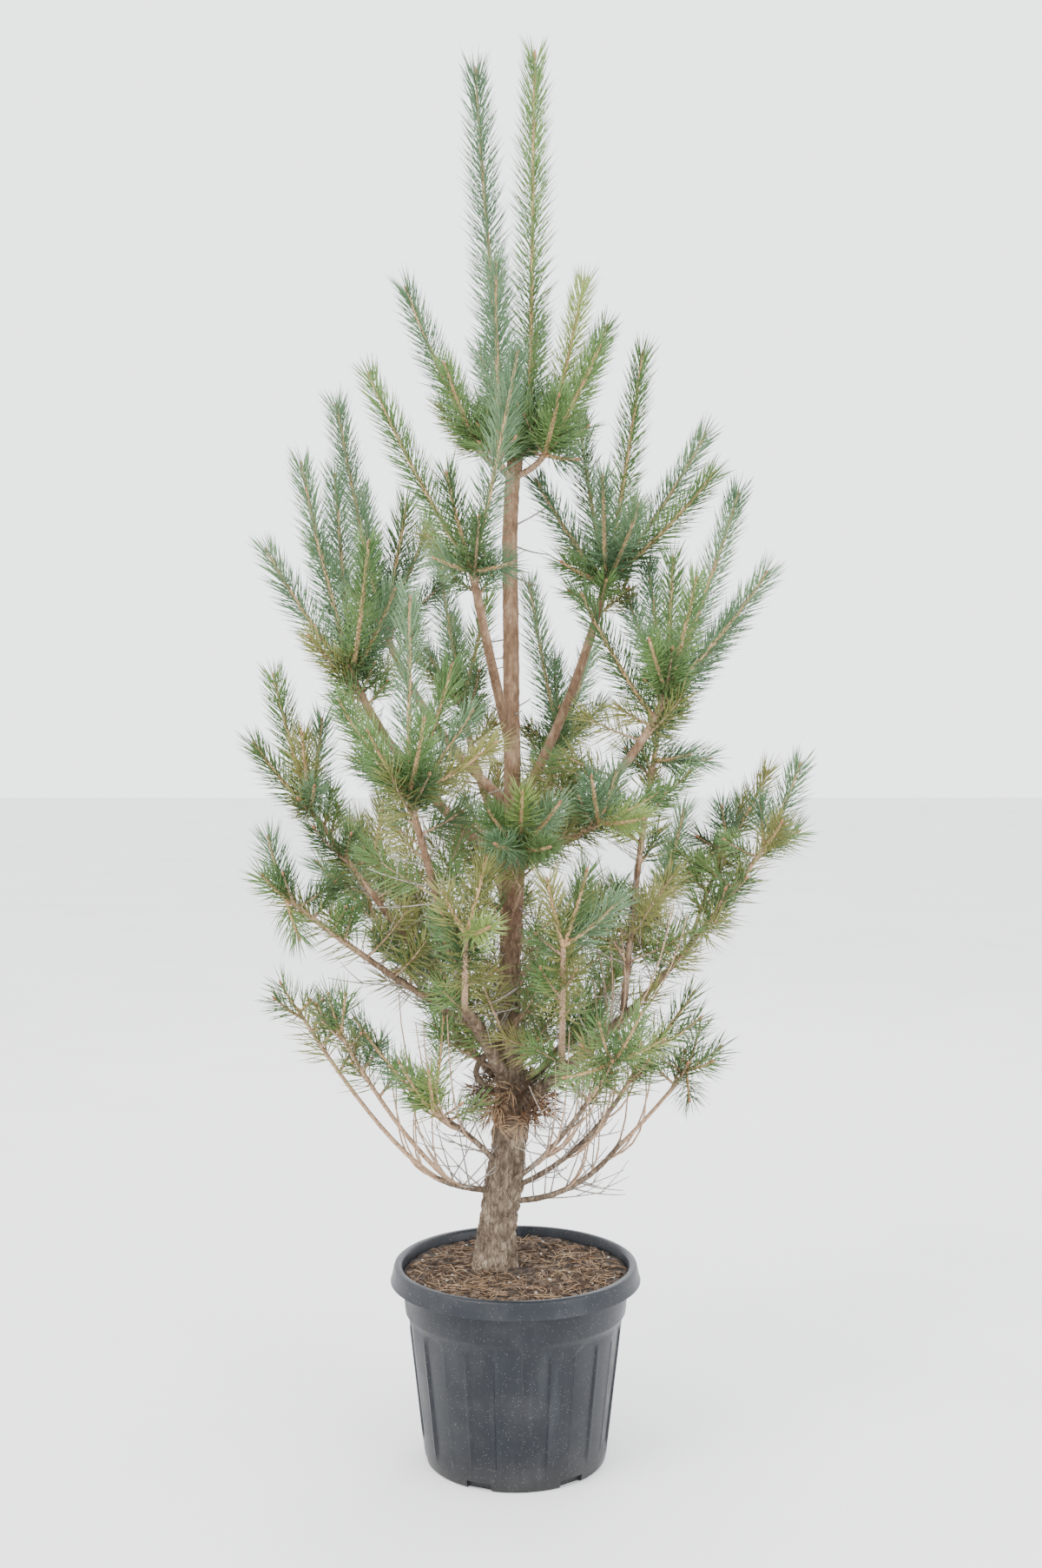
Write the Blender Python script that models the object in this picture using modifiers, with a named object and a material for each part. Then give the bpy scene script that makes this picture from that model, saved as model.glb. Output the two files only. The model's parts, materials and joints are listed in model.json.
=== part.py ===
"""Potted scots pine, a young tree with two leaders in a round nursery container.

Lengths are metres, +Z is up, and the origin is the middle of the pot's flat underside.
A turn is an angle about +Z from +X towards +Y, so the side with the best face is at -90.
A lean is an angle away from upright. Every sub-part is one closed solid of its own.
"""

import math
import random
from collections import namedtuple

import bmesh
import bpy
from mathutils import Matrix, Vector
from mathutils.bvhtree import BVHTree

# The gap that touching solids keep
CLEARANCE = 0.0003

# The pot, as radius and height up its outer side
POT_FOOT = (0.1530, 0.0)
POT_WALL_LOW = (0.1565, 0.018)
POT_WALL_HIGH = (0.1815, 0.246)
POT_COLLAR_LOW = (0.1875, 0.256)
POT_COLLAR_HIGH = (0.1925, 0.3105)
POT_SKIRT_EDGE = (0.2125, 0.3085)
POT_RIM_OUTER = (0.2065, 0.3325)
POT_RIM_TOP = (0.2030, 0.3370)
POT_RIM_INNER = (0.1955, 0.3370)
POT_MOUTH = (0.1925, 0.3330)
POT_THICKNESS = 0.003
POT_FOOT_CHAMFER = 0.002
POT_STEPS = 48
FLUTES = 12
FLUTE_DEPTH = 0.0032
FLUTE_FOOT_FADE = 0.035
NOTCHES = 6
NOTCH_TURN = 7.0
NOTCH_SIZE = (0.016, 0.032, 0.022)

# The compost, level round the trunk's foot and uneven away from it
SOIL_HEIGHT = 0.3225
SOIL_RINGS = (0.060, 0.130)
SOIL_RELIEF = 0.006
SOIL_LEVEL_REACH = 0.075

# The trunk, as height, sway along X, sway along Y and radius
TRUNK = (
    (0.3228, -0.038, 0.018, 0.0415),
    (0.3400, -0.038, 0.018, 0.0370),
    (0.3900, -0.032, 0.015, 0.0325),
    (0.4300, -0.026, 0.012, 0.0315),
    (0.4550, -0.022, 0.011, 0.0345),
    (0.4900, -0.018, 0.009, 0.0310),
    (0.5450, -0.010, 0.006, 0.0300),
    (0.6000, -0.006, 0.002, 0.0320),
    (0.6400, -0.006, 0.000, 0.0240),
    (0.7300, -0.013, 0.000, 0.0198),
    (0.8350, -0.010, 0.000, 0.0188),
    (0.9900, -0.004, 0.000, 0.0190),
    (1.0500, -0.004, 0.000, 0.0168),
    (1.1050, -0.004, 0.000, 0.0172),
    (1.1500, -0.005, 0.001, 0.0146),
    (1.2850, -0.007, 0.005, 0.0138),
    (1.4400, -0.008, 0.010, 0.0132),
    (1.5500, -0.010, 0.012, 0.0128),
    (1.6500, -0.006, 0.015, 0.0124),
    (1.6900, 0.000, 0.017, 0.0138),
    (1.7150, 0.004, 0.018, 0.0105),
)
ROOT_LOBES = 5
ROOT_LOBE_DEPTH = 0.16
ROOT_FLARE_TOP = 0.40

# A shoot of the last year: a slim core that some of its needles stand out of
CORE_SIDES = 3
STEM_SIDES = 4
RING_PITCH = 0.060
RING_TWIST = 42.0
FIRST_RING = 0.022
NEEDLE_OUT = 0.031
NEEDLE_FORWARD = 0.034
LEADER_NEEDLE_OUT = 0.038
NEEDLE_CLEARANCE = 0.0012
LESSER_NEEDLE = 0.85
BUD_SHARE = 0.45
LESSER_LEAN = (38, 62)
LESSER_HIGHEST = 0.94
STEM_SEAT = 0.04
SHOOT_FOOT_RADIUS = 0.0046
SHOOT_TIP_RADIUS = 0.0026
SHOOT_SAG = 7.0
SHOOT_SAG_LEAN = 40.0
STEM_OVERRUN = 0.006
GOLDEN_TURN = 137.5
SPRAY_SEED = 51

# A limb and what grows on it
# leaves: height on the trunk, or share of the way along the parent limb
# hub: turn, reach and height of the whorl of shoots at its far end
# bend: how much of the way out and of the way up is done at the knee of its curve
# bough: share of the curve that is the bare bough, a solid of its own
# needles: share of the curve from which the stem of the mass wears needles
# radii: at the foot and at the hub
# shoots: turn, lean and length of each main shoot, with the share where it leaves if not the hub
# fill: number and length of the lesser shoots that the seeded rule adds along the stem
Limb = namedtuple("Limb", "name parent leaves hub bend bough needles radii shoots fill")

LIMBS = (
    Limb("left_fork", "trunk", 0.615, (-126, 0.149, 0.801), (0.42, 0.60), 1.0, 1.0, (0.0135, 0.0105),
         (), (0, 0)),
    Limb("right_fork", "trunk", 0.600, (-34, 0.230, 0.798), (0.50, 0.42), 1.0, 1.0, (0.0135, 0.0070),
         (), (0, 0)),
    Limb("left_front", "left_fork", 0.94, (-122, 0.308, 1.151), (0.45, 0.50), 0.90, 0.9, (0.0075, 0.0055),
         ((-79, 4, 0.30), (31, 21, 0.21), (-74, 41, 0.16), (-132, 40, 0.13), (165, 38, 0.18),
          (6, 37, 0.16), (-17, 59, 0.16)), (2, 0.11)),
    Limb("left_middle", "left_fork", 0.84, (-176, 0.341, 1.111), (0.55, 0.50), 0.58, 0.6, (0.0068, 0.0045),
         ((180, 15, 0.225), (-96, 26, 0.14), (77, 23, 0.155), (-167, 40, 0.14), (-80, 66, 0.11)), (2, 0.09)),
    Limb("left_lower", "left_fork", 0.70, (-167, 0.384, 0.971), (0.50, 0.42), 0.60, 0.6, (0.0065, 0.0042),
         ((180, 16, 0.10), (-128, 52, 0.065), (-49, 150, 0.07)), (3, 0.08)),
    Limb("left_front_upper", "trunk", 1.205, (-113, 0.174, 1.500), (0.50, 0.45), 0.94, 0.95, (0.0095, 0.0065),
         ((173, 28, 0.345), (-122, 26, 0.16), (-30, 14, 0.34), (-143, 77, 0.07), (-43, 84, 0.08)), (2, 0.11)),
    Limb("left_upper", "trunk", 1.005, (-159, 0.281, 1.332), (0.70, 0.45), 0.94, 0.95, (0.0088, 0.0062),
         ((-172, 34, 0.24), (150, 16, 0.355), (108, 20, 0.35), (-73, 31, 0.24), (-36, 33, 0.16)), (2, 0.12)),
    Limb("left_back_upper", "trunk", 1.110, (160, 0.240, 1.419), (0.75, 0.45), 0.90, 0.9, (0.0085, 0.0060),
         ((195, 12, 0.37), (-25, 13, 0.205), (38, 29, 0.20), (110, 30, 0.26), (150, 45, 0.20)), (1, 0.12)),
    Limb("right_upper", "trunk", 1.095, (21, 0.163, 1.486), (0.66, 0.47), 0.95, 0.95, (0.0090, 0.0068),
         ((-170, 35, 0.205), (139, 12, 0.29), (0, 9, 0.385), (-95, 36, 0.205), (-65, 44, 0.16),
          (7, 34, 0.30), (-19, 46, 0.255), (-141, 71, 0.10), (65, 45, 0.20)), (1, 0.11)),
    Limb("right_middle", "trunk", 1.000, (-22, 0.264, 1.308), (0.80, 0.55), 0.76, 0.8, (0.0090, 0.0060),
         ((19, 21, 0.34), (0, 40, 0.245), (-74, 36, 0.215), (80, 21, 0.23), (98, 36, 0.255),
          (107, 50, 0.245), (-109, 53, 0.135), (30, 44, 0.215, 0.86), (-170, 31, 0.23, 0.84)), (2, 0.12)),
    Limb("right_back_middle", "right_fork", 0.92, (-4, 0.230, 1.191), (0.30, 0.50), 0.60, 0.6, (0.0062, 0.0045),
         ((-21, 80, 0.06), (0, 88, 0.09), (77, 43, 0.10)), (3, 0.08)),
    Limb("right_outer", "right_fork", 0.96, (-4, 0.414, 1.049), (0.52, 0.42), 0.50, 0.5, (0.0055, 0.0038),
         ((0, 23, 0.145), (-78, 60, 0.095), (20, 70, 0.065), (92, 31, 0.08)), (3, 0.07)),
    Limb("back_right", "trunk", 0.985, (75, 0.309, 1.205), (0.70, 0.40), 0.80, 0.8, (0.0078, 0.0055),
         ((180, 11, 0.29), (103, 16, 0.15), (45, 60, 0.13), (60, 35, 0.20)), (2, 0.12)),
    Limb("back_left", "trunk", 1.020, (108, 0.317, 1.279), (0.70, 0.40), 0.80, 0.8, (0.0078, 0.0055),
         ((156, 10, 0.28), (-23, 15, 0.19), (149, 40, 0.12), (100, 40, 0.20)), (2, 0.12)),
    Limb("back_low", "trunk", 0.640, (95, 0.330, 0.980), (0.60, 0.45), 0.60, 0.6, (0.0080, 0.0050),
         ((95, 20, 0.19), (60, 42, 0.16), (130, 42, 0.16), (95, 68, 0.12)), (2, 0.09)),
    Limb("back_right_low", "trunk", 0.610, (45, 0.370, 0.920), (0.60, 0.45), 0.60, 0.6, (0.0075, 0.0048),
         ((40, 20, 0.17), (75, 48, 0.14), (8, 48, 0.14)), (2, 0.09)),
    Limb("back_left_low", "trunk", 0.625, (133, 0.390, 0.900), (0.60, 0.45), 0.60, 0.6, (0.0075, 0.0048),
         ((135, 22, 0.17), (100, 50, 0.14), (170, 50, 0.13)), (2, 0.09)),
    Limb("low_left", "trunk", 0.457, (-167, 0.140, 0.492), (0.60, 0.20), 1.0, 1.0, (0.0058, 0.0046), (), (0, 0)),
    Limb("low_left_upper", "trunk", 0.487, (-143, 0.167, 0.620), (0.42, 0.58), 0.90, 0.9, (0.0056, 0.0040),
         ((-92, 48, 0.13), (-126, 42, 0.13), (-163, 39, 0.205), (20, 6, 0.15)), (1, 0.08)),
    Limb("low_right", "trunk", 0.440, (-3, 0.180, 0.548), (0.62, -0.05), 1.0, 1.0, (0.0056, 0.0042), (), (0, 0)),
    Limb("low_right_upper", "trunk", 0.457, (-12, 0.218, 0.703), (0.62, 0.22), 0.80, 0.8, (0.0052, 0.0036),
         ((10, 40, 0.13), (-5, 56, 0.11), (-120, 28, 0.09)), (2, 0.07)),
    Limb("low_right_front", "trunk", 0.466, (-52, 0.250, 0.723), (0.48, 0.26), 0.80, 0.8, (0.0050, 0.0036),
         ((-68, 47, 0.14), (-16, 63, 0.09), (-107, 47, 0.11), (-139, 95, 0.10)), (2, 0.07)),
    Limb("leader_right", "trunk", 1.700, (25, 0.026, 1.740), (0.30, 0.60), 0.0, 1.0, (0.0064, 0.0056),
         ((60, 1.5, 0.600),), (0, 0)),
    Limb("leader_left", "trunk", 1.690, (135, 0.024, 1.728), (0.85, 0.40), 0.0, 1.0, (0.0060, 0.0054),
         ((139, 6.2, 0.600),), (0, 0)),
    Limb("top_front", "trunk", 1.655, (-125, 0.048, 1.690), (0.70, 0.30), 0.0, 1.0, (0.0058, 0.0052),
         ((-97, 6, 0.300),), (1, 0.09)),
    Limb("top_left", "trunk", 1.668, (186, 0.056, 1.698), (0.70, 0.30), 0.0, 1.0, (0.0058, 0.0052),
         ((182, 25, 0.29), (-124, 38, 0.165)), (1, 0.10)),
    Limb("top_right", "trunk", 1.660, (-8, 0.048, 1.695), (0.70, 0.30), 0.0, 1.0, (0.0058, 0.0052),
         ((4, 13, 0.285), (18, 27, 0.235), (-43, 36, 0.20), (-80, 57, 0.145), (-30, 100, 0.06)), (1, 0.09)),
    Limb("top_back", "trunk", 1.662, (84, 0.056, 1.695), (0.70, 0.30), 0.0, 1.0, (0.0058, 0.0052),
         ((72, 24, 0.26), (125, 32, 0.22), (95, 60, 0.15)), (0, 0)),
    Limb("front_middle", "trunk", 0.985, (-88, 0.165, 1.062), (0.60, 0.40), 0.0, 0.35, (0.0070, 0.0052),
         ((-112, 61, 0.135), (-87, 48, 0.14), (-56, 55, 0.135), (-104, 82, 0.15), (-72, 84, 0.15)), (1, 0.09)),
    Limb("right_inner", "trunk", 1.030, (-45, 0.189, 1.098), (0.60, 0.40), 0.0, 0.35, (0.0068, 0.0050),
         ((34, 24, 0.09), (10, 64, 0.10), (-100, 45, 0.11), (-50, 82, 0.10)), (2, 0.08)),
    Limb("left_inner", "trunk", 0.680, (144, 0.310, 1.010), (0.60, 0.45), 0.0, 0.50, (0.0070, 0.0044),
         ((54, 15, 0.10), (118, 50, 0.09), (-144, 110, 0.085)), (3, 0.08)),
    Limb("front_left_low", "left_fork", 0.95, (-104, 0.309, 0.944), (0.60, 0.30), 0.0, 0.45, (0.0058, 0.0044),
         ((0, 15, 0.115), (-147, 31, 0.075), (-66, 76, 0.09)), (2, 0.07)),
    Limb("front_right_low", "right_fork", 0.42, (-74, 0.270, 0.919), (0.55, 0.40), 0.0, 0.50, (0.0058, 0.0044),
         ((-30, 19, 0.125), (0, 51, 0.11), (-122, 24, 0.115)), (2, 0.07)),
    Limb("right_outer_inner", "right_outer", 0.44, (8, 0.365, 1.045), (0.30, 0.45), 0.0, 0.40, (0.0036, 0.0034),
         ((23, 32, 0.14), (59, 40, 0.09), (-108, 39, 0.085)), (1, 0.06)),
    Limb("low_left_outer", "low_left", 0.93, (-172, 0.362, 0.776), (0.42, 0.22), 0.0, 0.80, (0.0042, 0.0030),
         ((-165, 32, 0.055), (-60, 60, 0.05)), (1, 0.05)),
    Limb("low_left_inner", "low_left", 0.66, (-160, 0.303, 0.749), (0.48, 0.30), 0.0, 0.72, (0.0042, 0.0032),
         ((180, 39, 0.06), (-141, 19, 0.07), (-78, 40, 0.10)), (2, 0.06)),
    Limb("low_right_outer", "low_right", 0.93, (7, 0.294, 0.658), (0.50, 0.42), 0.0, 0.85, (0.0040, 0.0030),
         ((18, 60, 0.07), (-47, 67, 0.06), (-90, 120, 0.07), (60, 40, 0.08)), (0, 0)),
    Limb("low_back", "trunk", 0.470, (88, 0.270, 0.660), (0.60, 0.25), 0.0, 0.70, (0.0054, 0.0036),
         ((80, 40, 0.10), (30, 52, 0.12), (135, 52, 0.12)), (1, 0.07)),
)

LIMB_RINGS = 6
LIMB_SIDES_RESOLUTION = 1
FORK_SIDES_RESOLUTION = 2
TRUNK_SIDES_RESOLUTION = 3


def clear_scene():
    for obj in list(bpy.data.objects):
        bpy.data.objects.remove(obj, do_unlink=True)


def make_collection(name):
    collection = bpy.data.collections.new(name)
    bpy.context.scene.collection.children.link(collection)
    return collection


def make_material(name, color, roughness):
    material = bpy.data.materials.new(name)
    material.use_nodes = True
    shader = material.node_tree.nodes["Principled BSDF"]
    shader.inputs["Base Color"].default_value = (*color, 1.0)
    shader.inputs["Roughness"].default_value = roughness
    shader.inputs["Metallic"].default_value = 0.0
    return material


def new_object(name, mesh, collection):
    obj = bpy.data.objects.new(name, mesh)
    collection.objects.link(obj)
    return obj


def mesh_from(bm, name):
    mesh = bpy.data.meshes.new(name)
    bm.to_mesh(mesh)
    bm.free()
    return mesh


def evaluated_mesh(obj):
    graph = bpy.context.evaluated_depsgraph_get()
    mesh = bpy.data.meshes.new_from_object(obj.evaluated_get(graph))
    mesh.transform(obj.matrix_world)
    return mesh


def remove_object(obj):
    data = obj.data
    kind = obj.type
    bpy.data.objects.remove(obj, do_unlink=True)
    if kind == "CURVE":
        bpy.data.curves.remove(data)
    else:
        bpy.data.meshes.remove(data)


# Places and curves


def place(turn, reach, height):
    angle = math.radians(turn)
    return Vector((reach * math.cos(angle), reach * math.sin(angle), height))


def heading(turn, lean):
    across = math.sin(math.radians(lean))
    return place(turn, across, math.cos(math.radians(lean)))


def mixed(low, high, share):
    return low + (high - low) * share


def trunk_point(height):
    for low, high in zip(TRUNK, TRUNK[1:]):
        if height <= high[0]:
            share = (height - low[0]) / (high[0] - low[0])
            return Vector((mixed(low[1], high[1], share), mixed(low[2], high[2], share), height))
    return Vector((TRUNK[-1][1], TRUNK[-1][2], height))


def curve_point(curve, share):
    start, knee, end = curve
    return start * (1 - share) ** 2 + knee * 2 * share * (1 - share) + end * share**2


def curve_heading(curve, share):
    start, knee, end = curve
    return ((knee - start) * (1 - share) + (end - knee) * share).normalized()


def curve_length(curve):
    marks = [curve_point(curve, step / 12) for step in range(13)]
    return sum((b - a).length for a, b in zip(marks, marks[1:]))


def limb_curve(limb, curves):
    on_trunk = limb.parent == "trunk"
    start = trunk_point(limb.leaves) if on_trunk else curve_point(curves[limb.parent], limb.leaves)
    end = place(*limb.hub)
    way = end - start
    out, up = limb.bend
    knee = start + Vector((way.x * out, way.y * out, way.z * up))
    return start, knee, end


def shoot_curve(start, turn, lean, length):
    """A shoot leaves its whorl leaning further out than it ends."""
    end = start + heading(turn, lean) * length
    sag = SHOOT_SAG * min(1.0, lean / SHOOT_SAG_LEAN)
    knee = start + heading(turn, lean + sag) * length * 0.5
    return start, knee, end


def all_curves():
    curves = {}
    for limb in LIMBS:
        curves[limb.name] = limb_curve(limb, curves)
    return curves


def limb_radius(limb, share):
    return mixed(limb.radii[0], limb.radii[1], share)


def lesser_shoots(limb, curve):
    """Short shoots up the leafy stem, each turned on from the last, away from the way it points."""
    count, length = limb.fill
    rng = random.Random(f"{SPRAY_SEED} {limb.name}")
    first_turn = rng.uniform(0, 360)
    lowest = min(LESSER_HIGHEST, max(limb.needles, limb.bough) + STEM_SEAT)
    shoots = []
    for index in range(count):
        share = mixed(1.0, lowest, (index + 0.5) / count)
        turn = first_turn + GOLDEN_TURN * index
        lean = rng.uniform(*LESSER_LEAN)
        shoots.append((share, turn, lean, length * rng.uniform(0.8, 1.2)))
    return shoots


# Round solids along a curve


def poly_tube(name, points, radii, resolution, collection):
    """A tube as a bevelled curve through the points, made a mesh with its caps welded."""
    data = bpy.data.curves.new(name, "CURVE")
    data.dimensions = "3D"
    data.bevel_depth = 1.0
    data.bevel_resolution = resolution
    data.use_fill_caps = True
    spline = data.splines.new("POLY")
    spline.points.add(len(points) - 1)
    for mark, point, radius in zip(spline.points, points, radii):
        mark.co = (*point, 1.0)
        mark.radius = radius
    guide = new_object(name + "_guide", data, collection)
    bpy.context.view_layer.update()
    mesh = evaluated_mesh(guide)
    remove_object(guide)
    bm = bmesh.new()
    bm.from_mesh(mesh)
    bmesh.ops.remove_doubles(bm, verts=bm.verts, dist=0.00001)
    bmesh.ops.recalc_face_normals(bm, faces=bm.faces)
    bm.to_mesh(mesh)
    bm.free()
    return new_object(name, mesh, collection)


def limb_tube(name, limb, curve, extra, collection):
    """The bare bough from the parent's middle line to where its needles begin, grown by extra."""
    shares = [limb.bough * step / (LIMB_RINGS - 1) for step in range(LIMB_RINGS)]
    points = [curve_point(curve, share) for share in shares]
    points[-1] = points[-1] + curve_heading(curve, limb.bough) * extra
    radii = [limb_radius(limb, share) + extra for share in shares]
    thick = limb.radii[0] > 0.01
    resolution = FORK_SIDES_RESOLUTION if thick else LIMB_SIDES_RESOLUTION
    return poly_tube(name, points, radii, resolution, collection)


def trunk_solid(name, extra, collection):
    points = [Vector((x, y, height)) for height, x, y, _ in TRUNK]
    points[-1].z += extra
    radii = [radius + extra for _, _, _, radius in TRUNK]
    obj = poly_tube(name, points, radii, TRUNK_SIDES_RESOLUTION, collection)
    for vertex in obj.data.vertices:
        height = vertex.co.z
        if height > ROOT_FLARE_TOP:
            continue
        middle = trunk_point(max(height, TRUNK[0][0]))
        out = Vector((vertex.co.x - middle.x, vertex.co.y - middle.y, 0))
        fade = (ROOT_FLARE_TOP - height) / (ROOT_FLARE_TOP - TRUNK[0][0])
        lobe = 1 + ROOT_LOBE_DEPTH * fade * math.cos(ROOT_LOBES * math.atan2(out.y, out.x))
        vertex.co.x = middle.x + out.x * lobe
        vertex.co.y = middle.y + out.y * lobe
    return obj


# Needled shoots


def curve_frame(curve):
    """The fixed side direction of a curve that lies in one plane."""
    start, knee, end = curve
    side = (knee - start).cross(end - start)
    if side.length < 1e-9:
        side = (end - start).orthogonal()
    return side.normalized()


def straight_core(sides, rings):
    """A unit prism along Z from 0 to 1, cut into rings."""
    bm = bmesh.new()
    bmesh.ops.create_cone(
        bm, cap_ends=True, segments=sides, radius1=1.0, radius2=1.0, depth=1.0,
        matrix=Matrix.Translation((0, 0, 0.5)),
    )
    if rings > 1:
        uprights = [edge for edge in bm.edges if abs(edge.verts[0].co.z - edge.verts[1].co.z) > 0.5]
        bmesh.ops.subdivide_edges(bm, edges=uprights, cuts=rings - 1)
    return bm


def ring_shares(first, last, length, pitch):
    """Where the rings of a core lie, as shares of its curve: a bare foot, then even steps."""
    steps = max(1, round((last - first) * length / pitch))
    return [mixed(first, last, step / steps) for step in range(steps + 1)]


def bent_core(curve, shares, radii, sides, twist, first_angle):
    """The unit prism laid along the curve, one ring at each share."""
    rings = len(shares) - 1
    bm = straight_core(sides, rings)
    side = curve_frame(curve)
    for vertex in bm.verts:
        ring = round(vertex.co.z * rings)
        along = curve_heading(curve, shares[ring])
        across = along.cross(side)
        angle = math.atan2(vertex.co.y, vertex.co.x) + first_angle + math.radians(twist) * ring
        out = side * math.cos(angle) + across * math.sin(angle)
        vertex.co = curve_point(curve, shares[ring]) + out * radii[ring]
    bm.normal_update()
    return bm


def mesh_lists(bm):
    bm.verts.index_update()
    corners = [vertex.co.copy() for vertex in bm.verts]
    faces = [[vertex.index for vertex in face.verts] for face in bm.faces]
    return corners, faces


def is_free(corners, faces, others):
    """True where the shape, a little swollen, meets none of the other solids."""
    middle = sum(corners, Vector()) / len(corners)
    swollen = []
    for corner in corners:
        swollen.append(corner + (corner - middle).normalized() * NEEDLE_CLEARANCE)
    tree = BVHTree.FromPolygons(swollen, faces)
    return not any(tree.overlap(other) for other in others)


def grow_needles(bm, curve, first_share, out, forward, others, rng):
    """Each side face beyond the bare foot becomes one needle, unless it would touch another solid."""
    start, _, end = curve
    sides = [face for face in bm.faces if len(face.verts) == 4]
    for face in sides:
        root = face.calc_center_median()
        share = max(0.0, min(1.0, (root - start).dot(end - start) / (end - start).length_squared))
        if share < first_share:
            continue
        along = curve_heading(curve, share)
        normal = face.normal - along * face.normal.dot(along)
        reach = out * rng.uniform(0.86, 1.10)
        apex = root + normal.normalized() * reach + along * forward * rng.uniform(0.85, 1.20)
        corners = [vertex.co.copy() for vertex in face.verts] + [apex]
        if not is_free(corners, [[0, 1, 4], [1, 2, 4], [2, 3, 4], [3, 0, 4], [3, 2, 1, 0]], others):
            continue
        poked = bmesh.ops.poke(bm, faces=[face])
        poked["verts"][0].co = apex
    bmesh.ops.triangulate(bm, faces=bm.faces)


def budded_core(curve, shares, sizes, angle, bud_length):
    """A three-sided core that ends in a pointed bud."""
    bm = bent_core(curve, shares, sizes, CORE_SIDES, RING_TWIST, angle)
    ends = [face for face in bm.faces if len(face.verts) == CORE_SIDES]
    tip = max(ends, key=lambda face: (face.calc_center_median() - curve[0]).length)
    bud = bmesh.ops.poke(bm, faces=[tip])
    bud["verts"][0].co = curve[2] + curve_heading(curve, 1.0) * bud_length
    return bm


def core_is_free(curve, shares, sizes, angle, bud_length, others):
    swollen = [size + NEEDLE_CLEARANCE for size in sizes]
    probe = budded_core(curve, shares, swollen, angle, bud_length + NEEDLE_CLEARANCE)
    corners, faces = mesh_lists(probe)
    probe.free()
    tree = BVHTree.FromPolygons(corners, faces)
    return not any(tree.overlap(other) for other in others)


def shoot_solid(name, curve, radii, needle_out, foreign, near, rng, collection):
    """One year's shoot, or nothing where its core would touch another solid."""
    length = curve_length(curve)
    bare = FIRST_RING / length
    shares = [0.0] + ring_shares(bare, 1.0, length, RING_PITCH)
    sizes = [mixed(radii[0], radii[1], share) for share in shares]
    angle = rng.uniform(0, math.tau)
    bud_length = needle_out * BUD_SHARE
    if not core_is_free(curve, shares, sizes, angle, bud_length, foreign):
        return None
    bm = budded_core(curve, shares, sizes, angle, bud_length)
    grow_needles(bm, curve, bare, needle_out, NEEDLE_FORWARD, near, rng)
    return new_object(name, mesh_from(bm, name), collection)


def stem_solid(name, limb, curve, others, rng, collection):
    """The part of the limb that lies inside its mass of needles."""
    start_share = max(0.0, limb.bough - 0.012)
    length = curve_length(curve)
    first = max(limb.needles, limb.bough + 0.012)
    shares = [start_share]
    if first - start_share > 0.05:
        shares += ring_shares(start_share, first, length, 2 * RING_PITCH)[1:]
    if first < 0.999:
        shares += ring_shares(first, 1.0, length, RING_PITCH)[1:]
    elif shares[-1] < 1.0:
        shares[-1] = 1.0
    sizes = [limb_radius(limb, share) for share in shares]
    bm = bent_core(curve, shares, sizes, STEM_SIDES, RING_TWIST / 2, rng.uniform(0, math.tau))
    end = curve_heading(curve, 1.0) * STEM_OVERRUN
    for vertex in bm.verts:
        if (vertex.co - curve[2]).length < limb.radii[1] * 1.2:
            vertex.co += end
    if first < 0.999:
        grow_needles(bm, curve, first + 0.01, NEEDLE_OUT, NEEDLE_FORWARD, others, rng)
    bmesh.ops.triangulate(bm, faces=bm.faces)
    return new_object(name, mesh_from(bm, name), collection)


# Joining and carving


def largest_body(mesh):
    """Drops loose scraps and sealed hollows: only the body with the most volume stays."""
    bm = bmesh.new()
    bm.from_mesh(mesh)
    bmesh.ops.triangulate(bm, faces=bm.faces)
    unseen = set(bm.faces)
    bodies = []
    while unseen:
        body = [unseen.pop()]
        for face in body:
            for edge in face.edges:
                for other in edge.link_faces:
                    if other in unseen:
                        unseen.remove(other)
                        body.append(other)
        bodies.append(body)
    volume = {}
    for index, body in enumerate(bodies):
        volume[index] = sum(
            face.verts[0].co.dot(face.verts[1].co.cross(face.verts[2].co)) / 6 for face in body
        )
    best = max(volume, key=volume.get)
    for index, body in enumerate(bodies):
        if index != best:
            bmesh.ops.delete(bm, geom=body, context="FACES")
    loose = [vertex for vertex in bm.verts if not vertex.link_faces]
    bmesh.ops.delete(bm, geom=loose, context="VERTS")
    bm.to_mesh(mesh)
    bm.free()
    return mesh


def with_boolean(obj, operation, operand):
    """The object's mesh after one exact Boolean with an object or a collection."""
    modifier = obj.modifiers.new(operation.title(), "BOOLEAN")
    modifier.operation = operation
    modifier.solver = "EXACT"
    if isinstance(operand, bpy.types.Collection):
        modifier.operand_type = "COLLECTION"
        modifier.collection = operand
    else:
        modifier.object = operand
    bpy.context.view_layer.update()
    mesh = evaluated_mesh(obj)
    obj.modifiers.clear()
    old = obj.data
    obj.data = mesh
    obj.matrix_world = Matrix.Identity(4)
    bpy.data.meshes.remove(old)
    return obj


def joined(stem, shoots, twigs):
    """The stem with every shoot fused on, and the loose shoots then removed."""
    if shoots:
        with_boolean(stem, "UNION", twigs)
    for shoot in shoots:
        remove_object(shoot)
    return stem


def tree_of(obj):
    bm = bmesh.new()
    bm.from_mesh(obj.data)
    corners, faces = mesh_lists(bm)
    bm.free()
    return BVHTree.FromPolygons(corners, faces)


def seated(obj, cutters):
    """The object with each neighbour's clearance taken out of it."""
    for cutter in cutters:
        if tree_of(obj).overlap(tree_of(cutter)):
            with_boolean(obj, "DIFFERENCE", cutter)
    largest_body(obj.data)
    return obj


def settled(obj, name, origin, material, parent):
    """Names the finished solid and puts its origin where it grows from."""
    obj.name = name
    obj.data.name = name
    obj.data.transform(Matrix.Translation(-origin))
    obj.location = origin
    obj.data.materials.clear()
    obj.data.materials.append(material)
    obj.parent = parent
    return obj


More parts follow.
